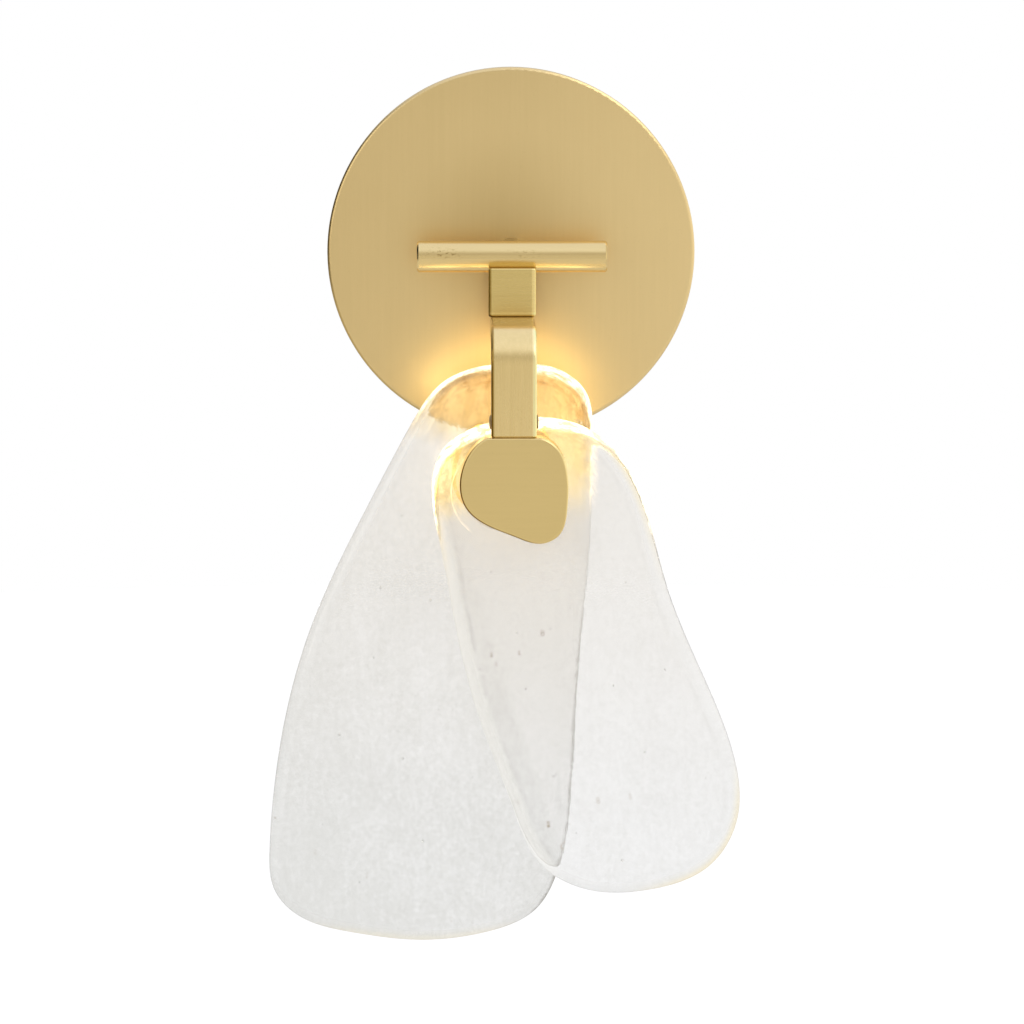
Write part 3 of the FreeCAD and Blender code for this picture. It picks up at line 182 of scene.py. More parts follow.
class Graph:
    """A node tree written as expressions."""

    def __init__(self, tree):
        self.tree = tree

    def node(self, kind, settings=None, inputs=None, output=0):
        """Adds a node, its settings first, and gives one of its outputs."""
        node = self.tree.nodes.new(kind)
        for name, value in (settings or {}).items():
            setattr(node, name, value)
        for key, value in (inputs or {}).items():
            if isinstance(value, Link):
                self.tree.links.new(value.socket, node.inputs[key])
            else:
                node.inputs[key].default_value = value
        return Link(self, node.outputs[output])

    def math(self, operation, *values):
        return self.node("ShaderNodeMath", {"operation": operation}, dict(enumerate(values)))

    def least(self, one, other):
        return self.math("MINIMUM", one, other)

    def most(self, one, other):
        return self.math("MAXIMUM", one, other)

    def step(self, value, low, high):
        """A smooth step from 0 at low to 1 at high."""
        return self.node(
            "ShaderNodeMapRange", {"interpolation_type": "SMOOTHSTEP"},
            {"Value": value, "From Min": low, "From Max": high})

    def clamped(self, value):
        return self.node("ShaderNodeClamp", inputs={"Value": value})

    def near(self, value, middle, reach):
        """1 where the value is at the middle, falling to 0 at a reach each side."""
        return 1 - self.step(abs(value - middle), 0.0, reach)

    def swing(self, cloud, size):
        """A noise moved from around one half to around nothing, and scaled."""
        return (cloud - 0.5) * size

    def grey(self, value):
        return self.node("ShaderNodeCombineColor", inputs={0: value, 1: value, 2: value})

    def blend(self, factor, first, second, kind="MIX"):
        """A mix of two colours."""
        return self.node(
            "ShaderNodeMix", {"data_type": "RGBA", "blend_type": kind},
            {0: factor, 6: rgba(first), 7: rgba(second)}, 2)

    def beyond(self, factor, first, second):
        """A mix of two colours that may reach past either, kept within 0 to 1."""
        return self.node(
            "ShaderNodeMix", {"data_type": "RGBA", "clamp_factor": False, "clamp_result": True},
            {0: factor, 6: rgba(first), 7: rgba(second)}, 2)

    def place(self):
        return self.node("ShaderNodeTexCoord", output="Object")

    def vector(self, x, y, z):
        return self.node("ShaderNodeCombineXYZ", inputs={0: x, 1: y, 2: z})

    def split(self, vector):
        first = self.node("ShaderNodeSeparateXYZ", inputs={0: vector})
        return [Link(self, output) for output in first.socket.node.outputs]

    def stretched(self, vector, scale):
        return self.node("ShaderNodeMapping", inputs={"Vector": vector, "Scale": scale})

    def clouds(self, vector, scale, detail=2.0, roughness=0.5):
        return self.node(
            "ShaderNodeTexNoise",
            inputs={"Vector": vector, "Scale": scale, "Detail": detail, "Roughness": roughness})

    def distance(self, vector, point):
        return self.node(
            "ShaderNodeVectorMath", {"operation": "DISTANCE"}, {0: vector, 1: point}, "Value")

    def bump(self, height, strength, distance):
        return self.node(
            "ShaderNodeBump",
            inputs={"Height": height, "Strength": strength, "Distance": distance})


def rgba(colour):
    return colour if isinstance(colour, Link) else (*colour[:3], 1.0)


def scaled(colour, share):
    """A darker or lighter form of a colour, at most 1."""
    return [min(1.0, each * share) for each in colour]


class Finish(Graph):
    """A material made of one Principled shader."""

    def __init__(self, name):
        self.material = bpy.data.materials.new(name)
        self.material.use_nodes = True
        super().__init__(self.material.node_tree)
        self.shader = self.tree.nodes["Principled BSDF"]

    def set(self, **sockets):
        for name, value in sockets.items():
            socket = self.shader.inputs[name.replace("_", " ")]
            if isinstance(value, Link):
                self.tree.links.new(value.socket, socket)
            elif socket.type == "RGBA":
                socket.default_value = (*value[:3], 1.0)
            else:
                socket.default_value = value
        return self.material

    def facing(self):
        """How far a surface faces right and up, and whether it faces the front at all."""
        across, depth, up = self.split(self.node("ShaderNodeTexCoord", output="Normal"))
        return across, self.step(-depth, 0.10, 0.40), up

    def easing(self):
        """Painted shade where a front turns to the lower left, painted light where it turns right.
        """
        faces_across, front_share, faces_up = self.facing()
        lean = faces_across * 0.9 + faces_up * 0.42
        lighter = self.step(lean, 0.35, 0.90) * 0.8
        darker = self.step(-lean, 0.22, 0.65) * 1.3
        return (lighter - darker) * front_share


def brushed_brass(
        name, along, tone=1.0, roughness=0.3, grain=1.0, wear_and_painted_light=None, painted_edges=0.0, paler=1.0):
    """Satin brass, brushed along one axis.

    Extra shading by place adds marks, painted light and painted shade, and the edge share adds
    painted shade and light where the edges turn away.
    A paler brass has more blue in it.
    """
    finish = Finish(name)
    place = finish.place()
    scale = [BRUSH_FINE] * 3
    scale["XYZ".index(along)] = BRUSH_COARSE
    wide_scale = [each / WIDE_STREAK for each in scale]
    streaks = finish.clouds(finish.stretched(place, scale), 1.0, 3.0, 0.7)
    wide_streaks = finish.clouds(finish.stretched(place, wide_scale), 1.0, 2.0)
    patches = finish.clouds(place, 14.0, 3.0)
    specks = finish.step(finish.clouds(place, 900.0, 2.0), 0.66, 0.74)
    shade = (finish.swing(streaks, 0.22 * grain) + finish.swing(wide_streaks, 0.16 * grain)
             + finish.swing(patches, 0.12))
    if wear_and_painted_light:
        shade = shade + wear_and_painted_light(finish, place)
    if painted_edges:
        shade = shade + finish.easing() * painted_edges
    brass = bpy.context.scene.sconce_brass.colour
    light, dark = (
        [each * tone * share for each, share in zip(brass, (red, green, blue * paler))]
        for red, green, blue in (BRASS_LIGHT, BRASS_DARK))
    tinted = finish.beyond(shade + 0.5, dark, light)
    return finish.set(
        Base_Color=finish.blend(specks * 0.05, tinted, scaled(dark, 0.5)), Metallic=1.0,
        Roughness=roughness + finish.swing(streaks, 0.10) + finish.swing(patches, 0.08),
        Normal=finish.bump(streaks + wide_streaks * 0.5, 0.05 * grain, 0.08 * MM))


def plain_metal(name, colour, roughness=0.35):
    """Plated or bare metal with faint wear."""
    finish = Finish(name)
    place = finish.place()
    patches = finish.clouds(place, 160.0, 4.0, 0.6)
    grain = finish.clouds(place, 1800.0, 2.0)
    return finish.set(
        Base_Color=finish.blend(patches, scaled(colour, 0.86), scaled(colour, 1.1)),
        Metallic=1.0, Roughness=roughness + finish.swing(patches, 0.2),
        Normal=finish.bump(grain, 0.08, 0.1 * MM))


def moulded(name, colour, roughness=0.5, glow=None, strength=0.0):
    """Moulded plastic or rubber with a fine grain, which may glow."""
    finish = Finish(name)
    place = finish.place()
    grain = finish.clouds(place, 2200.0, 2.0)
    patches = finish.clouds(place, 90.0, 3.0)
    if glow:
        warmth = finish.blend(patches, scaled(glow, 0.9), glow)
        finish.set(Emission_Color=warmth, Emission_Strength=strength)
    return finish.set(
        Base_Color=finish.blend(patches, scaled(colour, 0.93), scaled(colour, 1.05)),
        Roughness=roughness + finish.swing(grain, 0.15),
        Normal=finish.bump(grain, 0.12, 0.1 * MM))


def canopy_painted_light(finish, place):
    """Painted shade above the rod and at the plate's top, and painted light to its right."""
    across, _, up = finish.split(place)
    from_rod = finish.distance(place, (-0.003, -0.022, 0.010))
    dim = 1 - finish.step(from_rod, 0.0, 0.060)
    top = finish.step(up, 0.05, 0.095)
    return across * 1.25 - up * 0.25 - dim * 0.30 - top * 0.04


def rod_wear(finish, place):
    """Small dark handling marks on the front of the rod."""
    across, _, up = finish.split(place)
    scratches = finish.clouds(finish.stretched(place, (500, 900, 900)), 1.0, 4.0, 0.7)
    marks = finish.step(scratches, 0.56, 0.62)
    spots = finish.near(across, -0.034, 0.014) + finish.near(across, 0.006, 0.012) * 0.6
    return marks * spots * finish.near(up, 0.002, 0.004) * -0.8


def standoff_painted_shade(finish, place):
    """The post is painted darker along its top, as shade where it passes behind the rod."""
    up = finish.split(place)[2]
    return finish.step(up, 0.006, 0.0085) * -0.9


def sides_painted_light(node):
    """Painted shade on the left edge of a flat bar and painted light on its right edge."""
    low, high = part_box(node)

    def wear_and_painted_light(finish, place):
        across = finish.split(place)[0]
        left = 1 - finish.step(across, low.x + 1.0 * MM, low.x + 1.8 * MM)
        right = finish.step(across, high.x - 2.4 * MM, high.x - 1.6 * MM)
        return (right * 0.55 - left * 0.85) * finish.facing()[1]

    return wear_and_painted_light


def block_painted_light(finish, place):
    """A painted highlight line and a painted shade line where the block's foot is rounded, added
    to the painted light and shade of its sides.
    """
    up = finish.split(place)[2]
    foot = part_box("arm_block")[0].z
    painted_highlight_line = finish.near(up, foot + 1.9 * MM, 0.8 * MM) * 0.40
    painted_shade_line = (1 - finish.step(up, foot + 0.4 * MM, foot + 1.2 * MM)) * 0.8
    return sides_painted_light("arm_block")(finish, place) + painted_highlight_line - painted_shade_line


class CastGlass(Finish):
    """Thick cast glass with a little haze, lit from its drilled end.

    Each petal's own class says where its body takes painted light and shade (shade), how
    pale its painted rim highlight is (rim), how dark its painted outer shade line is (line),
    where its edge takes painted golden light (golden_light), where it glows with painted
    lamp light (hot) and where painted warm light colours it (amber). Its HAZE and BROWN
    are the strength of its haze and of the brown in that painted warm light.
    """

    RIM_FADE = (0.6, 1.25)

    def __init__(self, petal, looks):
        super().__init__(petal["node"] + "_glass")
        self.looks = looks
        self.flaws = petal["flaws"]
        place = self.place()
        self.across, depth, self.up = self.split(place)
        self.flat = self.vector(self.across, 0.0, self.up)
        self.inset = self.node("ShaderNodeAttribute", {"attribute_name": "inset"}, output="Fac")
        self.cloud = self.clouds(place, 34.0, 5.0, 0.62)
        self.rough = self.clouds(place, 130.0, 4.0, 0.65)
        self.speckle = self.clouds(place, 430.0, 3.0, 0.72)
        self.drawn = self.clouds(self.stretched(place, (420, 420, 30)), 1.0, 3.0, 0.6)
        self.blotches = self.clouds(self.stretched(place, (150, 150, 95)), 1.0, 4.0, 0.74)
        self.wobble = self.clouds(self.stretched(place, (90, 90, 240)), 1.0, 3.0)
        turned = self.math("ARCTAN2", self.across - LAMP_CENTRE.x, self.up - LAMP_CENTRE.z)
        round_the_rim = self.vector(self.inset * 520.0, turned * 6.0, depth * 60.0)
        self.streaks = self.clouds(round_the_rim, 1.0, 4.0, 0.68)
        self.ragged_inset = self.inset + self.swing(self.rough, 3.2 * MM)
        self.band = 1 - self.step(self.ragged_inset, 3.4 * MM, 8.2 * MM)
        self.rim_share = self.rim()
        self.bright_rim = self.most(self.rim_share - 0.3, 0.0)
        self.golden_light_share = self.golden_light() * (1 - self.step(self.inset, 0.4 * MM, 5.0 * MM))

    def body(self):
        """The colour of the clear glass with its haze, its painted light and shade and its painted
        pale rim highlight.
        """
        haze = (self.swing(self.cloud, 1.1) + self.swing(self.speckle, 2.1)
                + self.swing(self.drawn, 0.60))
        haze = haze * self.HAZE + (self.streaks - 0.5) * self.band * 0.8
        tint = self.looks.tint
        cool = self.blend(
            self.clamped(haze + 0.5 + self.shade()), scaled(tint, 0.88), scaled(tint, 1.12))
        # Painted warm lamp light on the upper glass.
        warmth = self.step(self.up, -0.32, -0.12) * 0.42
        return self.blend(
            self.band * self.rim_share, self.blend(warmth, cool, UPPER_WARM_LIGHT), PALE_RIM_HIGHLIGHT)

    def lined(self, colour):
        """A colour with the glass's soft painted second shade line, its painted dark outer line
        and its flaws.
        """
        inner = (self.near(self.ragged_inset, 7.4 * MM, 1.8 * MM)
                 * self.step(self.cloud, 0.44, 0.60))
        second_share = inner * (self.drawn * 0.35 + self.bright_rim * 0.7)
        colour = self.blend(second_share, colour, SECOND_SHADE_LINE)
        line = self.line()
        uneven = self.inset + self.swing(self.wobble, 3.0 * MM) * line
        outer = 1 - self.step(uneven, 0.2 * MM, line * (1.6 * MM) + 0.9 * MM)
        colour = self.blend(outer * line, colour, OUTER_SHADE_LINE)
        for x, z, radius, width, darkness in self.flaws:
            away = self.distance(self.flat, (x * MM, 0, z * MM))
            flaw = self.near(away, radius * MM, width * MM) * darkness
            colour = self.blend(flaw, colour, FLAW_BROWN)
        return colour

    def finished(self):
        """Joins the colour, the painted warm light, the painted golden edge light and the painted
        glow.
        """
        hot = self.hot() * (0.28 + self.step(self.streaks, 0.38, 0.60))
        amber = self.amber()
        near_edge = 1 - self.step(self.inset, 7 * MM, 15 * MM)
        brown = (self.step(self.streaks, 0.44, 0.58) * near_edge * 0.9
                 + self.step(self.blotches, 0.46, 0.56) * 0.5) * self.BROWN
        edged = self.blend(self.clamped(self.golden_light_share * 0.8), self.lined(self.body()), GOLDEN_EDGE_LIGHT)
        warm_light = self.blend(self.clamped(brown), PALE_WARM_LIGHT, BROWN_WARM_LIGHT)
        warmed = self.blend(self.clamped(amber * (0.35 + self.cloud)), edged, warm_light)
        glow = (hot * 1.1 + amber * self.most(1 - brown * 1.1, 0.0) * 0.15
                + self.golden_light_share * 0.05 + self.band * self.bright_rim * 0.07)
        low_down = self.step(-self.up, 0.12, 0.15) * (1 - self.clamped(self.golden_light_share))
        whiter = self.most(self.step(hot, 0.0, 0.6), low_down)
        glow_colour = self.blend(whiter, self.looks.glow, self.looks.white_glow)
        waves = (self.cloud + self.drawn * 0.3 + self.speckle * 0.08
                 + self.least(amber, 1.0) * self.blotches * 1.2)
        self.set(
            Base_Color=warmed, Roughness=0.02 + self.speckle * 0.05, IOR=1.47,
            Transmission_Weight=self.looks.clearness,
            Emission_Color=self.blend(1.0, glow_colour, self.grey(glow), "MULTIPLY"),
            Emission_Strength=self.looks.glow_strength,
            Normal=self.bump(waves, 0.25, 0.8 * MM))
        self.let_light_by()
        return self.material

    def let_light_by(self):
        """Lets nearly all of the light through to shadow and diffuse rays."""
        shadow = self.node("ShaderNodeLightPath", output="Is Shadow Ray")
        diffuse = Link(self, shadow.socket.node.outputs["Is Diffuse Ray"])
        clear = self.node("ShaderNodeBsdfTransparent", inputs={0: rgba(GLASS_SHADOW)})
        surface = self.node("ShaderNodeMixShader", inputs={
            0: self.most(shadow, diffuse), 1: Link(self, self.shader.outputs[0]), 2: clear})
        output = self.tree.nodes["Material Output"]
        self.tree.links.new(surface.socket, output.inputs["Surface"])


class FrontGlass(CastGlass):
    """The front petal, with painted glow and warm light around and beside the pebble and painted
    shade to the right of its body.
    """

    HAZE = 0.75
    BROWN = 0.35
    ARC_CENTRE = (-7.2 * MM, 0, -113.5 * MM)
    ARC_RADIUS = 23.8 * MM

    def shade(self):
        return 0.40 - self.step(self.across, 20 * MM, 42 * MM) * 0.08

    def rim(self):
        right = self.step(self.across + self.up * 0.25, -60 * MM, -50 * MM)
        return 0.80 - right * 0.50

    def line(self):
        right = self.step(self.across, 5 * MM, 40 * MM)
        return right * self.step(-self.up, 0.13, 0.17) * 0.22

    def golden_light(self):
        top = self.step(self.up, -0.17, -0.10)
        lower_right = self.step(self.across - self.up * 0.8, 0.305, 0.340)
        return top * 1.4 + lower_right * 1.4

    def hot(self):
        ragged = self.inset + self.swing(self.rough, 2.2 * MM)
        right = self.step(self.across, 16 * MM, 44 * MM)
        top = self.step(self.up, -0.112, -0.080)
        width = top * (4.6 * MM) + 1.3 * MM - right * (3.6 * MM)
        rim = 1 - self.step(ragged / self.most(width, 0.6 * MM), *self.RIM_FADE)
        beside = self.near(self.across, 39.5 * MM, 3.6 * MM) * self.near(self.up, -0.100, 0.026)
        arc = self.near(self.distance(self.flat, self.ARC_CENTRE), self.ARC_RADIUS, 0.45 * MM)
        left_arc = arc * self.step(-self.across, 20 * MM, 24 * MM)
        return rim * self.step(self.up, -0.143, -0.116) + beside * 0.18 + left_arc * 0.30

    def amber(self):
        ragged = self.swing(self.rough, 0.016)
        near_lamp = 1 - self.step(abs(self.across + 2 * MM) + ragged * 0.9, 33 * MM, 44 * MM)
        beside_pebble = self.step(-self.across, 18 * MM, 27 * MM) * 1.5
        return near_lamp * self.step(self.up + ragged, -0.130, -0.104) * (1 + beside_pebble)


class BackGlass(CastGlass):
    """The back petal, with painted glow along its top, painted light where the front one covers it
    and painted shade to the left and at its foot.
    """

    HAZE = 1.1
    BROWN = 0.62

    def shade(self):
        left = self.step(-self.across, 20 * MM, 115 * MM)
        covered = self.step(self.across + self.up * 0.314, -75 * MM, -66 * MM)
        foot = self.step(-self.up, 0.20, 0.33)
        return covered * 0.60 - left * 0.24 - foot * 0.22

    def rim(self):
        return self.step(self.up, -0.16, -0.11) * 0.12 + 0.16

    def line(self):
        right = self.step(self.across, 4 * MM, 14 * MM) * self.step(-self.up, 0.115, 0.22)
        return right * 0.95 + (1 - right) * self.step(-self.up, 0.12, 0.30) * 0.22

    def golden_light(self):
        return self.step(-self.up, 0.335, 0.345) * 0.7

    def hot(self):
        ragged = self.inset + self.swing(self.rough, 2.2 * MM)
        width = self.near(self.across, 14 * MM, 42 * MM) * (3.4 * MM) + 1.6 * MM
        thinner = self.step(self.across, 28 * MM, 34 * MM) * self.step(-self.up, 0.070, 0.085)
        rim = 1 - self.step(ragged / (width - thinner * (1.6 * MM)), *self.RIM_FADE)
        reach = self.up + self.across * 0.42 + self.most(self.across, 0.0) * 0.15
        return rim * self.step(reach, -0.108, -0.083)

    def amber(self):
        right = self.most(self.across - 0.030, 0.0) * 1.5
        reach = self.up + self.across * 0.2 + right + self.swing(self.rough, 0.012)
        return self.step(reach, -0.104, -0.080)


def seed_finish():
    """Air inside the glass: the glass's bend of light, turned round."""
    finish = Finish("glass_seed")
    grain = finish.clouds(finish.place(), 900.0)
    return finish.set(
        Base_Color=finish.blend(grain, (0.80, 0.80, 0.78), (0.95, 0.95, 0.93)),
        Roughness=0.05, IOR=0.68, Transmission_Weight=1.0)


def new_piece(name, mesh, materials):
    """A finished mesh as a piece that rides on the lamp."""
    piece = bpy.data.objects.new(name, mesh)
    bpy.context.scene.collection.objects.link(piece)
    for material in materials:
        mesh.materials.append(material)
    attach(piece, "root")
    return piece


def smooth(mesh, angle):
    """Shades a mesh smooth, with its sharper edges kept."""
    built = bmesh.new()
    built.from_mesh(mesh)
    bmesh.ops.remove_doubles(built, verts=built.verts, dist=WELD_DISTANCE)
    for face in built.faces:
        face.smooth = True
    limit = math.radians(angle)
    for edge in built.edges:
        edge.smooth = len(edge.link_faces) == 2 and edge.calc_face_angle(0) < limit
    built.to_mesh(mesh)
    built.free()


def bake(piece):
    """Replaces a piece's mesh by what its modifiers make of it."""
    depsgraph = bpy.context.evaluated_depsgraph_get()
    made = bpy.data.meshes.new_from_object(piece.evaluated_get(depsgraph))
    piece.modifiers.clear()
    old, name = piece.data, piece.data.name
    piece.data = made
    bpy.data.meshes.remove(old)
    made.name = name


def dress(node, piece_name, material):
    """A smoothly shaded copy of a CAD node that stands for it."""
    mesh = frame["nodes"][node].data.copy()
    mesh.name = piece_name
    mesh.materials.clear()
    smooth(mesh, METAL_SMOOTH_ANGLE)
    piece = new_piece(piece_name, mesh, [material])
    modifier = piece.modifiers.new("flats", "WEIGHTED_NORMAL")
    modifier.keep_sharp = True
    modifier.weight = 100
    bake(piece)
    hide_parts(node)


def closed_spline(points, samples):
    """Points spread evenly along the smooth closed curve through given points."""
    points = np.array(points, float)
    count = len(points)
    steps = np.linalg.norm(np.roll(points, -1, axis=0) - points, axis=1)
    before = np.roll(steps, 1)
    system = np.zeros((count, count))
    target = np.zeros((count, 2))
    for here in range(count):
        last, following = (here - 1) % count, (here + 1) % count
        system[here, last] += steps[here]
        system[here, here] += 2 * (before[here] + steps[here])
        system[here, following] += before[here]
        rise = (points[following] - points[here]) / steps[here] * before[here]
        fall = (points[here] - points[last]) / before[here] * steps[here]
        target[here] = 3 * (rise + fall)
    slopes = np.linalg.solve(system, target)
    dense = []
    for here in range(count):
        following = (here + 1) % count
        t = np.linspace(0, 1, SPLINE_STEPS, endpoint=False)[:, None]
        run = steps[here]
        dense.append(
            points[here] * (2 * t**3 - 3 * t**2 + 1)
            + slopes[here] * run * (t**3 - 2 * t**2 + t)
            + points[following] * (3 * t**2 - 2 * t**3)
            + slopes[following] * run * (t**3 - t**2))
    dense = np.vstack(dense)
    closed = np.vstack([dense, dense[:1]])
    lengths = np.linalg.norm(np.diff(closed, axis=0), axis=1)
    gone = np.concatenate([[0], np.cumsum(lengths)])
    wanted = np.linspace(0, gone[-1], samples, endpoint=False)
    return np.column_stack([np.interp(wanted, gone, closed[:, axis]) for axis in (0, 1)])


def petal_edge(petal):
    (left, top), (width, height) = petal["corner"], petal["size"]
    points = [(left + u * width, top - v * height) for u, v in petal["edge"]]
    return closed_spline(points, EDGE_SAMPLES)


def inward(outline):
    """The unit normals of a clockwise outline that point into it."""
    along = np.roll(outline, -1, axis=0) - np.roll(outline, 1, axis=0)
    along /= np.linalg.norm(along, axis=1)[:, None]
    return np.column_stack([along[:, 1], -along[:, 0]])


def inside(outline, points):
    """Which points lie inside a closed outline."""
    x, z = points[:, 0], points[:, 1]
    result = np.zeros(len(points), bool)
    for start, end in zip(outline, np.roll(outline, -1, axis=0)):
        crosses = (start[1] > z) != (end[1] > z)
        if not crosses.any():
            continue
        cut = (end[0] - start[0]) * (z - start[1]) / (end[1] - start[1]) + start[0]
        result ^= crosses & (x < cut)
    return result


def thinning(x, z, side, depth):
    """How far the cast face lies under its flat, from slow waves in the glass."""
    slow = noise.noise(Vector((x * 28.0, side * 3.0, z * 17.0)))
    quick = noise.noise(Vector((x * 90.0, side * 7.0 + 2.0, z * 55.0)))
    return depth * (0.5 + 0.5 * slow + 0.18 * quick)


def hole_edge(centre, radius):
    turn = np.linspace(0, 2 * math.pi, HOLE_SAMPLES, endpoint=False)
    return np.column_stack([centre.x + radius * np.cos(turn), centre.z + radius * np.sin(turn)])


def in_a_hole(x, z):
    return any(math.hypot(x - centre.x, z - centre.z) < radius for centre, radius in HOLES)


def face_points(outline, normals):
    """Staggered points over a petal's face, clear of its edge and holes."""
    (left, low), (right, high) = [
        corner(outline + normals * GLASS_EDGE, axis=0) for corner in (np.min, np.max)]
    rows = []
    for number, z in enumerate(np.arange(low, high, FACE_GRID * GRID_ROW_SHARE)):
        shift = FACE_GRID / 2 * (number % 2)
        rows += [(x + shift, z) for x in np.arange(left, right, FACE_GRID)]
    grid = np.array(rows)
    grid = grid[inside(outline + normals * (GLASS_EDGE + EDGE_CLEARANCE), grid)]
    for centre, radius in HOLES:
        away = np.hypot(grid[:, 0] - centre.x, grid[:, 1] - centre.z)
        grid = grid[away > radius + HOLE_CLEARANCE]
    return grid


def face_triangles(inner, grid):
    """The points and triangles of a flat face, and the loops of its edge and holes."""
    holes = [hole_edge(*hole) for hole in HOLES]
    flat = [Vector(point) for points in (inner, *holes, grid) for point in points]
    loops = [list(range(EDGE_SAMPLES))]
    for number in range(len(HOLES)):
        start = EDGE_SAMPLES + number * HOLE_SAMPLES
        loops.append(list(range(start, start + HOLE_SAMPLES)))
    edges = [(a, b) for loop in loops for a, b in zip(loop, loop[1:] + loop[:1])]
    points, _, faces, _, _, _ = geometry.delaunay_2d_cdt(flat, edges, [], 1, 1e-9)
    points = np.array([tuple(point) for point in points])
    kept = [face for face in faces if not in_a_hole(*points[list(face)].mean(0))]
    return points, kept, loops


def add_faces(built, inset, middle, points, faces, from_edge):
    """Adds a slab's two gently waved faces and gives the vertices of each."""
    wave_depth = bpy.context.scene.sconce_glass.wave_depth
    fade = np.minimum(1.0, from_edge / WAVE_FADE)
    insets = GLASS_EDGE + from_edge
    insets[:EDGE_SAMPLES] = GLASS_EDGE
    sides = []
    for side in (-1, 1):
        level = []
        for (x, z), share, far_in in zip(points, fade, insets):
            depth = GLASS_HALF - thinning(x, z, side, wave_depth) * share
            vertex = built.verts.new((x, middle + side * depth, z))
            vertex[inset] = far_in
            level.append(vertex)
        for face in faces:
            corners = [level[index] for index in face]
            built.faces.new(corners if side < 0 else corners[::-1])
        sides.append(level)
    return sides


def add_round_edge(built, inset, middle, outline, normals, sides):
    """Joins a slab's two faces round its outside."""
    rings = [sides[0][:EDGE_SAMPLES]]
    for number in range(1, 2 * EDGE_RINGS):
        angle = math.pi * number / (2 * EDGE_RINGS)
        far_in = GLASS_EDGE * (1 - math.sin(angle))
        y = middle - GLASS_HALF * math.cos(angle)
        rings.append([built.verts.new((x, y, z)) for x, z in outline + normals * far_in])
        for vertex in rings[-1]:
            vertex[inset] = far_in
    rings.append(sides[1][:EDGE_SAMPLES])
    for ring, following in zip(rings, rings[1:]):
        for index in range(EDGE_SAMPLES):
            ahead = (index + 1) % EDGE_SAMPLES
            built.faces.new((ring[index], ring[ahead], following[ahead], following[index]))


def petal_mesh(petal):
    """A thick slab with a full-round edge, gently waved faces and two holes."""
    outline = petal_edge(petal)
    normals = inward(outline)
    low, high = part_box(petal["node"])
    middle = (low.y + high.y) / 2
    inner = outline + normals * GLASS_EDGE
    points, faces, loops = face_triangles(inner, face_points(outline, normals))
    from_edge = np.array([np.hypot(*(inner - point).T).min() for point in points])
    built = bmesh.new()
    inset = built.verts.layers.float.new("inset")
    sides = add_faces(built, inset, middle, points, faces, from_edge)
    add_round_edge(built, inset, middle, outline, normals, sides)
    for loop in loops[1:]:
        for a, b in zip(loop, loop[1:] + loop[:1]):
            built.faces.new((sides[0][b], sides[0][a], sides[1][a], sides[1][b]))
    bmesh.ops.recalc_face_normals(built, faces=built.faces)
    mesh = bpy.data.meshes.new(petal["node"])
    built.to_mesh(mesh)
    built.free()
    smooth(mesh, GLASS_SMOOTH_ANGLE)
    return mesh


def middle_sheet(petal):
    """A flat sheet inside the glass that the seeds are scattered on."""
    outline = petal_edge(petal)
    low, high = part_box(petal["node"])
    inner = outline + inward(outline) * SEED_SHEET_INSET
    built = bmesh.new()
    middle = (low.y + high.y) / 2
    built.faces.new([built.verts.new((x, middle, z)) for x, z in inner[::SEED_SHEET_SKIP]])
    bmesh.ops.triangulate(built, faces=built.faces)
    mesh = bpy.data.meshes.new(petal["node"] + "_seeds")
    built.to_mesh(mesh)
    built.free()
    return mesh


class SeedTree(Graph):
    """Scatters small bubbles over a sheet, each a few dozen faces."""

    SIZES = {"Spacing": 9 * MM, "Density": 1500.0, "Radius": 0.55 * MM, "Depth": 3.6 * MM}

    def __init__(self):
        tree = bpy.data.node_groups.new("glass_seeds", "GeometryNodeTree")
        super().__init__(tree)
        sheet = self.input("Sheet", "Geometry")
        spacing, density, radius, reach = [
            self.input(name, "Float", value) for name, value in self.SIZES.items()]
        seed = self.input("Seed", "Int", 3)
        material = self.input("Material", "Material")
        tree.interface.new_socket("Seeds", in_out="OUTPUT", socket_type="NodeSocketGeometry")
        points = self.node(
            "GeometryNodeDistributePointsOnFaces", {"distribute_method": "POISSON"},
            {"Mesh": sheet, "Distance Min": spacing, "Density Max": density, "Seed": seed})
        offset = self.vector(0.0, self.random(-1.0, 1.0, seed) * reach, 0.0)
        moved = self.node("GeometryNodeSetPosition", inputs={"Geometry": points, "Offset": offset})
        ball = self.node(
            "GeometryNodeMeshUVSphere", inputs={"Segments": 8, "Rings": 6, "Radius": radius})
        size = self.random(0.35, 1.0, seed + 1)
        rows = self.node(
            "GeometryNodeInstanceOnPoints", inputs={
                "Points": moved, "Instance": ball,
                "Scale": self.vector(size, size * 0.7, size * 1.5)})
        real = self.node("GeometryNodeRealizeInstances", inputs={0: rows})
        smooth_ones = self.node("GeometryNodeSetShadeSmooth", inputs={0: real})
        coloured = self.node(
            "GeometryNodeSetMaterial", inputs={"Geometry": smooth_ones, "Material": material})
        end = tree.nodes.new("NodeGroupOutput")
        tree.links.new(coloured.socket, end.inputs[0])

    def input(self, name, kind, value=None):
        """Adds an input of the group and gives its link."""
        socket = self.tree.interface.new_socket(
            name, in_out="INPUT", socket_type="NodeSocket" + kind)
        if value is not None:
            socket.default_value = value
        return self.node("NodeGroupInput", output=name)

    def random(self, low, high, seed):
        return self.node(
            "FunctionNodeRandomValue", inputs={2: low, 3: high, "Seed": seed}, output=1)


def grown(piece, tree, values):
    """Runs a node tree on a piece with the given inputs and bakes the result."""
    modifier = piece.modifiers.new(tree.name, "NODES")
    modifier.node_group = tree
    for item in tree.interface.items_tree:
        if item.in_out == "INPUT" and item.name in values:
            modifier[item.identifier] = values[item.name]
    bake(piece)


class SconceBrass(bpy.types.PropertyGroup):
    """The look of the brass."""

    colour: FloatVectorProperty(
        name="Brass colour", description="Colour of the satin brass", subtype="COLOR", size=3,
        min=0.0, max=1.0, default=(0.79, 0.59, 0.245))


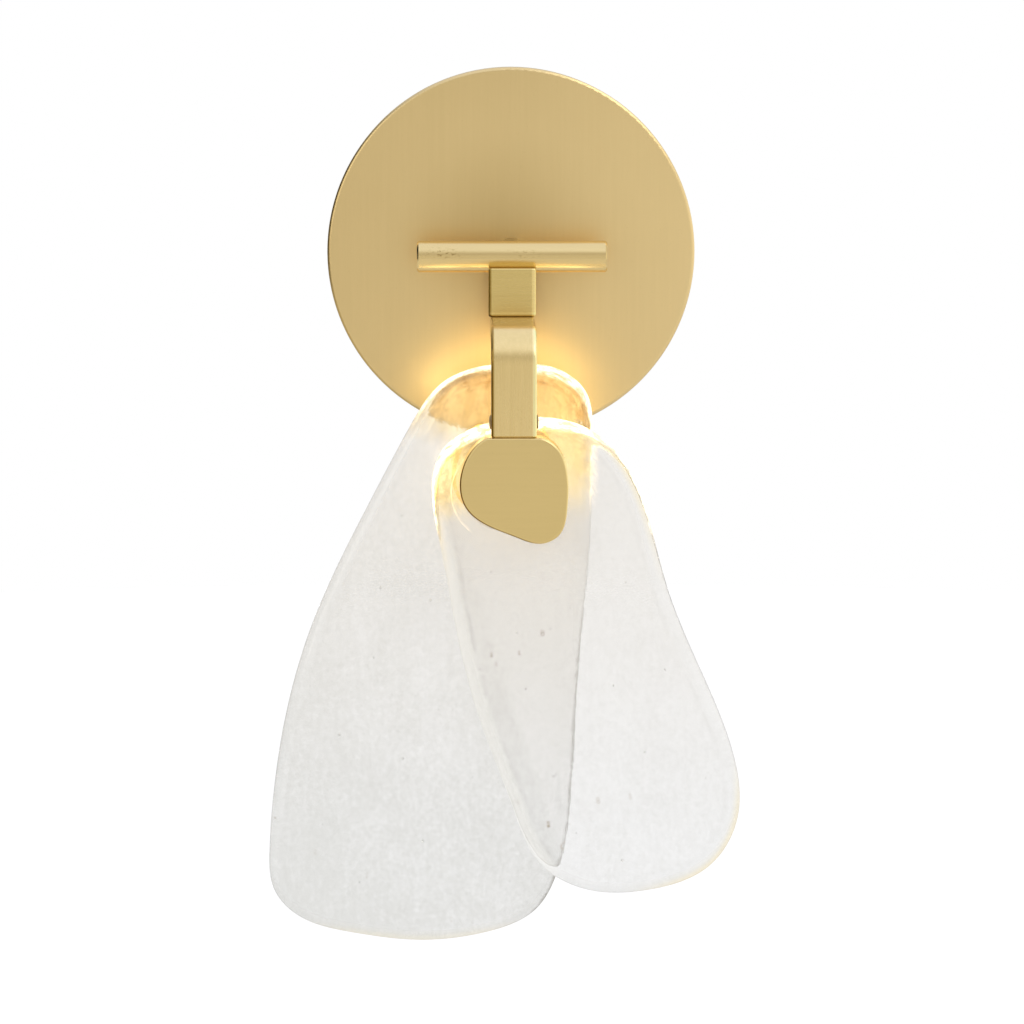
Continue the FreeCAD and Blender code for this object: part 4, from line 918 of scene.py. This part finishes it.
class SconceGlass(bpy.types.PropertyGroup):
    """The look and small shapes of the glass."""

    tint: FloatVectorProperty(
        name="Glass tint", description="Colour of light through the glass", subtype="COLOR",
        size=3, min=0.0, max=1.0, default=(0.950, 0.950, 0.926))
    clearness: FloatProperty(
        name="Clearness", description="Share of the light that the glass lets through",
        subtype="FACTOR", min=0.0, max=1.0, default=0.80)
    glow: FloatVectorProperty(
        name="Glow colour", description="Colour of the warm light in the glass",
        subtype="COLOR", size=3, min=0.0, max=1.0, default=(1.0, 0.70, 0.30))
    white_glow: FloatVectorProperty(
        name="Rim glow colour", description="Colour of the glowing rim", subtype="COLOR",
        size=3, min=0.0, max=1.0, default=(1.0, 0.92, 0.70))
    glow_strength: FloatProperty(
        name="Glow strength", description="Brightness of the light in the glass",
        min=0.0, default=1.0)
    wave_depth: FloatProperty(
        name="Wave depth", description="Depth of the slow waves in the cast faces",
        unit="LENGTH", min=0.0, default=0.35 * MM)
    seed_spacing: FloatProperty(
        name="Seed spacing", description="Least distance between two small bubbles",
        unit="LENGTH", min=1 * MM, default=26 * MM)


class SconceStage(bpy.types.PropertyGroup):
    """The camera and the lights."""

    lens: FloatProperty(
        name="Lens", description="Focal length of the camera", subtype="DISTANCE_CAMERA",
        default=135.645)
    key_power: FloatProperty(
        name="Key light", description="Power of the large light from the upper right",
        unit="POWER", min=0.0, default=9.0)
    fill_power: FloatProperty(
        name="Fill light", description="Power of the large light from the left",
        unit="POWER", min=0.0, default=7.0)
    lamp_power: FloatProperty(
        name="Lamp light", description="Power of a warm lamp behind the glowing rim",
        unit="POWER", min=0.0, default=0.0025)


class BuildCanopy(bpy.types.Operator):
    """Dress the round canopy"""

    bl_idname = "sconce.build_canopy"
    bl_label = "Canopy"

    def execute(self, context):
        brass = brushed_brass("canopy_brass", "Z", 1.03, 0.35, 0.35, canopy_painted_light, 0.4, 1.12)
        dress("canopy", "canopy_shell", brass)
        return {"FINISHED"}


class BuildArm(bpy.types.Operator):
    """Dress the standoff, rod, block, arm and its side screws"""

    bl_idname = "sconce.build_arm"
    bl_label = "Arm"

    def execute(self, context):
        for node, piece, brass in (
                ("standoff", "standoff_post",
                 brushed_brass("standoff_brass", "X", 0.95, wear_and_painted_light=standoff_painted_shade)),
                ("cross_rod", "cross_rod_bar",
                 brushed_brass("rod_brass", "X", 1.00, 0.25, 0.5, rod_wear, paler=1.06)),
                ("arm_block", "arm_block_body",
                 brushed_brass("block_brass", "X", 0.95, 0.27, 1.2, block_painted_light, 0.4, 0.90)),
                ("arm", "arm_tube",
                 brushed_brass("arm_brass", "Z", 1.08, 0.27, 1.2, sides_painted_light("arm"), 0.4, 1.06))):
            dress(node, piece, brass)
        dress("tongue_screws", "tongue_screw_pair", plain_metal("screw_brass", DARK_BRASS))
        return {"FINISHED"}


class BuildPebble(bpy.types.Operator):
    """Dress the pebble"""

    bl_idname = "sconce.build_pebble"
    bl_label = "Pebble"

    def execute(self, context):
        brass = brushed_brass("pebble_brass", "X", 0.99, 0.32, 0.4, painted_edges=1.1)
        dress("pebble", "pebble_casting", brass)
        return {"FINISHED"}


class BuildPetals(bpy.types.Operator):
    """Cast the two glass petals"""

    bl_idname = "sconce.build_petals"
    bl_label = "Glass petals"

    def execute(self, context):
        looks = context.scene.sconce_glass
        for petal, glass in ((FRONT_PETAL, FrontGlass), (BACK_PETAL, BackGlass)):
            material = glass(petal, looks).finished()
            piece = new_piece(petal["node"] + "_slab", petal_mesh(petal), [material])
            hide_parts(petal["node"])
        return {"FINISHED"}


class BuildSeeds(bpy.types.Operator):
    """Scatter the small bubbles in the glass"""

    bl_idname = "sconce.build_seeds"
    bl_label = "Seeds in the glass"

    FIRST_SEED = 5

    def execute(self, context):
        looks = context.scene.sconce_glass
        tree = SeedTree().tree
        finish = seed_finish()
        for seed, petal in enumerate((FRONT_PETAL, BACK_PETAL), self.FIRST_SEED):
            piece = new_piece(petal["node"] + "_seeds", middle_sheet(petal), [])
            grown(piece, tree, {"Spacing": looks.seed_spacing, "Seed": seed, "Material": finish})
            if not piece.data.polygons:
                raise RuntimeError("no seed was scattered")
        return {"FINISHED"}


class FinishNodes(bpy.types.Operator):
    """Give every CAD node the finish of its material"""

    bl_idname = "sconce.finish_nodes"
    bl_label = "Inner pieces"

    def execute(self, context):
        finishes = {
            "satin_brass": brushed_brass("inner_brass", "X", 0.95, 0.32),
            "plated_steel": plain_metal("zinc_steel", (0.66, 0.66, 0.64)),
            "natural_nylon": moulded("nylon", (0.88, 0.87, 0.80)),
            "clear_silicone": moulded("silicone", (0.93, 0.90, 0.82), 0.3),
            "dark_brass": plain_metal("dark_brass_metal", DARK_BRASS),
            "green_steel": moulded("green_paint", (0.05, 0.26, 0.09), 0.35),
            "core_aluminium": plain_metal("aluminium", (0.82, 0.82, 0.82), 0.3),
            "white_plastic": moulded("white_plastic_shell", (0.82, 0.82, 0.79)),
            "lead_jacket": moulded("lead_jacket_skin", (0.80, 0.79, 0.74), 0.45),
            "opal_plastic": moulded("opal", (0.95, 0.86, 0.66), 0.4, (1.0, 0.74, 0.36), 3.0),
            "lamp_phosphor": moulded("phosphor", (0.95, 0.80, 0.35), 0.4, (1.0, 0.8, 0.45), 4.0),
            "clear_glass": bpy.data.materials[BACK_PETAL["node"] + "_glass"],
        }
        slots = {row["node"]: row["material_slot"] for row in frame["record"]["subparts"]}
        for name, node in frame["nodes"].items():
            node.data.materials.clear()
            node.data.materials.append(finishes[slots[name]])
        return {"FINISHED"}


class BuildStage(bpy.types.Operator):
    """Set the floor, the world, the lights and the camera"""

    bl_idname = "sconce.build_stage"
    bl_label = "Stage"

    CAMERA_PLACE = (-0.0256, -2.022, 0.1216)
    CAMERA_PITCH = 7.331
    CAMERA_YAW = 0.747
    SENSOR_WIDTH = 36.0
    CLIP_START = 0.05
    FLOOR_DROP = 0.62
    FLOOR_REACH = 3.0
    FLOOR_GREY = (0.8, 0.8, 0.8)
    FLOOR_GLOW = 0.51
    FLOOR_SHARES = (("Is Transmission Ray", 0.86), ("Is Glossy Ray", 0.40))
    WORLD_LIT = (0.62, 0.62, 0.62)
    WORLD_THROUGH = (0.962, 0.962, 0.962)
    WORLD_MIRRORED = 0.75
    CEILING_COLOUR = (0.95, 1.03, 1.28)
    KEY_PLACE = (1.2, -1.5, 1.5)
    KEY_SIZE = 1.4
    FILL_PLACE = (-1.5, -1.4, 0.6)
    FILL_SIZE = 1.6
    STUDIO_COLOUR = (1.0, 0.98, 0.95)
    LIGHTS_AIM = Vector((0, -0.05, -0.12))
    RIM_COLOUR = (1.0, 0.91, 0.70)
    RIM_LAMPS = 9
    RIM_LAMP_RADIUS = 6 * MM
    RIM_LAMP_INSET = 4 * MM
    RIM_LAMP_GAP = 3 * MM
    RIM_LIT_LEAN = 0.35
    RIM_LIT_FROM = -0.088

    def execute(self, context):
        looks = context.scene.sconce_stage
        context.scene.view_settings.view_transform = "Standard"
        self.make_floor()
        self.make_world()
        self.area_light("key_light", self.KEY_PLACE, self.KEY_SIZE, looks.key_power)
        self.area_light("fill_light", self.FILL_PLACE, self.FILL_SIZE, looks.fill_power)
        self.light_rim(looks.lamp_power)
        camera = bpy.data.objects.new("camera", bpy.data.cameras.new("camera"))
        context.scene.collection.objects.link(camera)
        camera.location = self.CAMERA_PLACE
        camera.rotation_euler = (
            math.radians(90 - self.CAMERA_PITCH), 0, -math.radians(self.CAMERA_YAW))
        camera.data.lens = looks.lens
        camera.data.sensor_width = self.SENSOR_WIDTH
        camera.data.clip_start = self.CLIP_START
        context.scene.camera = camera
        return {"FINISHED"}

    def make_floor(self):
        """A floor that the camera sees white and that still takes the shadow."""
        built = bmesh.new()
        bmesh.ops.create_circle(built, cap_ends=True, segments=96, radius=self.FLOOR_REACH)
        bmesh.ops.translate(built, verts=built.verts, vec=(0, 0, -self.FLOOR_DROP))
        mesh = bpy.data.meshes.new("floor")
        built.to_mesh(mesh)
        built.free()
        floor = bpy.data.objects.new("floor", mesh)
        bpy.context.scene.collection.objects.link(floor)
        finish = Finish("pale_floor")
        seen = finish.node("ShaderNodeLightPath", output="Is Camera Ray")
        paths = seen.socket.node.outputs
        for output, share in self.FLOOR_SHARES:
            seen = finish.most(seen, Link(finish, paths[output]) * share)
        mesh.materials.append(finish.set(
            Base_Color=self.FLOOR_GREY, Roughness=0.9,
            Emission_Color=finish.blend(seen, BLACK, WHITE), Emission_Strength=self.FLOOR_GLOW))

    def make_world(self):
        """White behind; metal mirrors a bright cool ceiling, a light right, a dark left."""
        world = bpy.data.worlds.new("studio")
        bpy.context.scene.world = world
        world.use_nodes = True
        graph = Graph(world.node_tree)
        camera = graph.node("ShaderNodeLightPath", output="Is Camera Ray")
        paths = camera.socket.node.outputs
        through = Link(graph, paths["Is Transmission Ray"])
        glossy = Link(graph, paths["Is Glossy Ray"])
        direction = graph.node("ShaderNodeTexCoord", output="Generated")
        across, _, up = graph.split(direction)
        overhead = graph.step(up, 0.45, 0.80) * 0.28 - graph.near(up, 0.37, 0.27) * 0.17
        below = graph.step(-up, 0.12, 0.5) * 0.30
        right = graph.step(across, 0.35, 0.85) * 0.20
        left = graph.step(-across, 0.35, 0.85) * 0.62
        level = self.WORLD_MIRRORED + overhead + below + right - left
        cool = graph.blend(graph.step(up, 0.40, 0.75), WHITE, self.CEILING_COLOUR)
        mirrored = graph.blend(1.0, cool, graph.grey(level), "MULTIPLY")
        shaped = graph.blend(glossy, self.WORLD_LIT, mirrored)
        shown = graph.blend(camera, graph.blend(through, shaped, self.WORLD_THROUGH), WHITE)
        background = world.node_tree.nodes["Background"]
        world.node_tree.links.new(shown.socket, background.inputs["Color"])

    def light_rim(self, power):
        """Small warm lamps behind the glowing top of the back petal."""
        outline = petal_edge(BACK_PETAL)
        rim = outline + inward(outline) * self.RIM_LAMP_INSET
        lit = sorted((x, z) for x, z in rim if z + self.RIM_LIT_LEAN * x > self.RIM_LIT_FROM)
        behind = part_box("back_glass_petal")[1].y + self.RIM_LAMP_GAP
        for number in range(self.RIM_LAMPS):
            x, z = lit[round(number * (len(lit) - 1) / (self.RIM_LAMPS - 1))]
            data = bpy.data.lights.new(f"rim_lamp_{number + 1}", "POINT")
            data.energy = power * self.rim_share(x)
            data.color = self.RIM_COLOUR
            data.shadow_soft_size = self.RIM_LAMP_RADIUS
            self.place_light(data, (x, behind, z))

    @staticmethod
    def rim_share(x):
        """The rim lamps are brighter at the far left and dimmer on the right."""
        if x > 12 * MM:
            return 0.68
        return 1.6 if x < -34 * MM else 1.0

    def area_light(self, name, place, size, power):
        data = bpy.data.lights.new(name, "AREA")
        data.shape = "DISK"
        data.size = size
        data.energy = power
        data.color = self.STUDIO_COLOUR
        light = self.place_light(data, place)
        aim = self.LIGHTS_AIM - Vector(place)
        light.rotation_mode = "QUATERNION"
        light.rotation_quaternion = aim.to_track_quat("-Z", "Y")

    @staticmethod
    def place_light(data, place):
        """Adds a light that neither the camera nor the glass shows."""
        light = bpy.data.objects.new(data.name, data)
        bpy.context.scene.collection.objects.link(light)
        light.location = place
        light.visible_camera = False
        light.visible_transmission = False
        return light


class SconcePanel(bpy.types.Panel):
    """The lamp's pieces and looks in the sidebar"""

    bl_label = "Shell wall sconce"
    bl_idname = "VIEW3D_PT_sconce"
    bl_space_type = "VIEW_3D"
    bl_region_type = "UI"
    bl_category = "Sconce"

    def draw(self, context):
        for operator in OPERATORS:
            self.layout.operator(operator.bl_idname)
        for group_name in GROUPS:
            group = getattr(context.scene, group_name)
            for name in group.bl_rna.properties.keys():
                if name not in ("rna_type", "name"):
                    self.layout.prop(group, name)


OPERATORS = (
    BuildCanopy, BuildArm, BuildPebble, BuildPetals, BuildSeeds, FinishNodes, BuildStage)
GROUPS = {
    "sconce_brass": SconceBrass, "sconce_glass": SconceGlass, "sconce_stage": SconceStage}
CLASSES = (*GROUPS.values(), *OPERATORS, SconcePanel)


def register():
    for each in CLASSES:
        bpy.utils.register_class(each)
    for name, group in GROUPS.items():
        setattr(bpy.types.Scene, name, PointerProperty(type=group))


def unregister():
    for name in GROUPS:
        delattr(bpy.types.Scene, name)
    for each in reversed(CLASSES):
        bpy.utils.unregister_class(each)


def main():
    register()
    for operator in OPERATORS:
        group, name = operator.bl_idname.split(".")
        getattr(getattr(bpy.ops, group), name)()


if __name__ == "__main__":
    main()
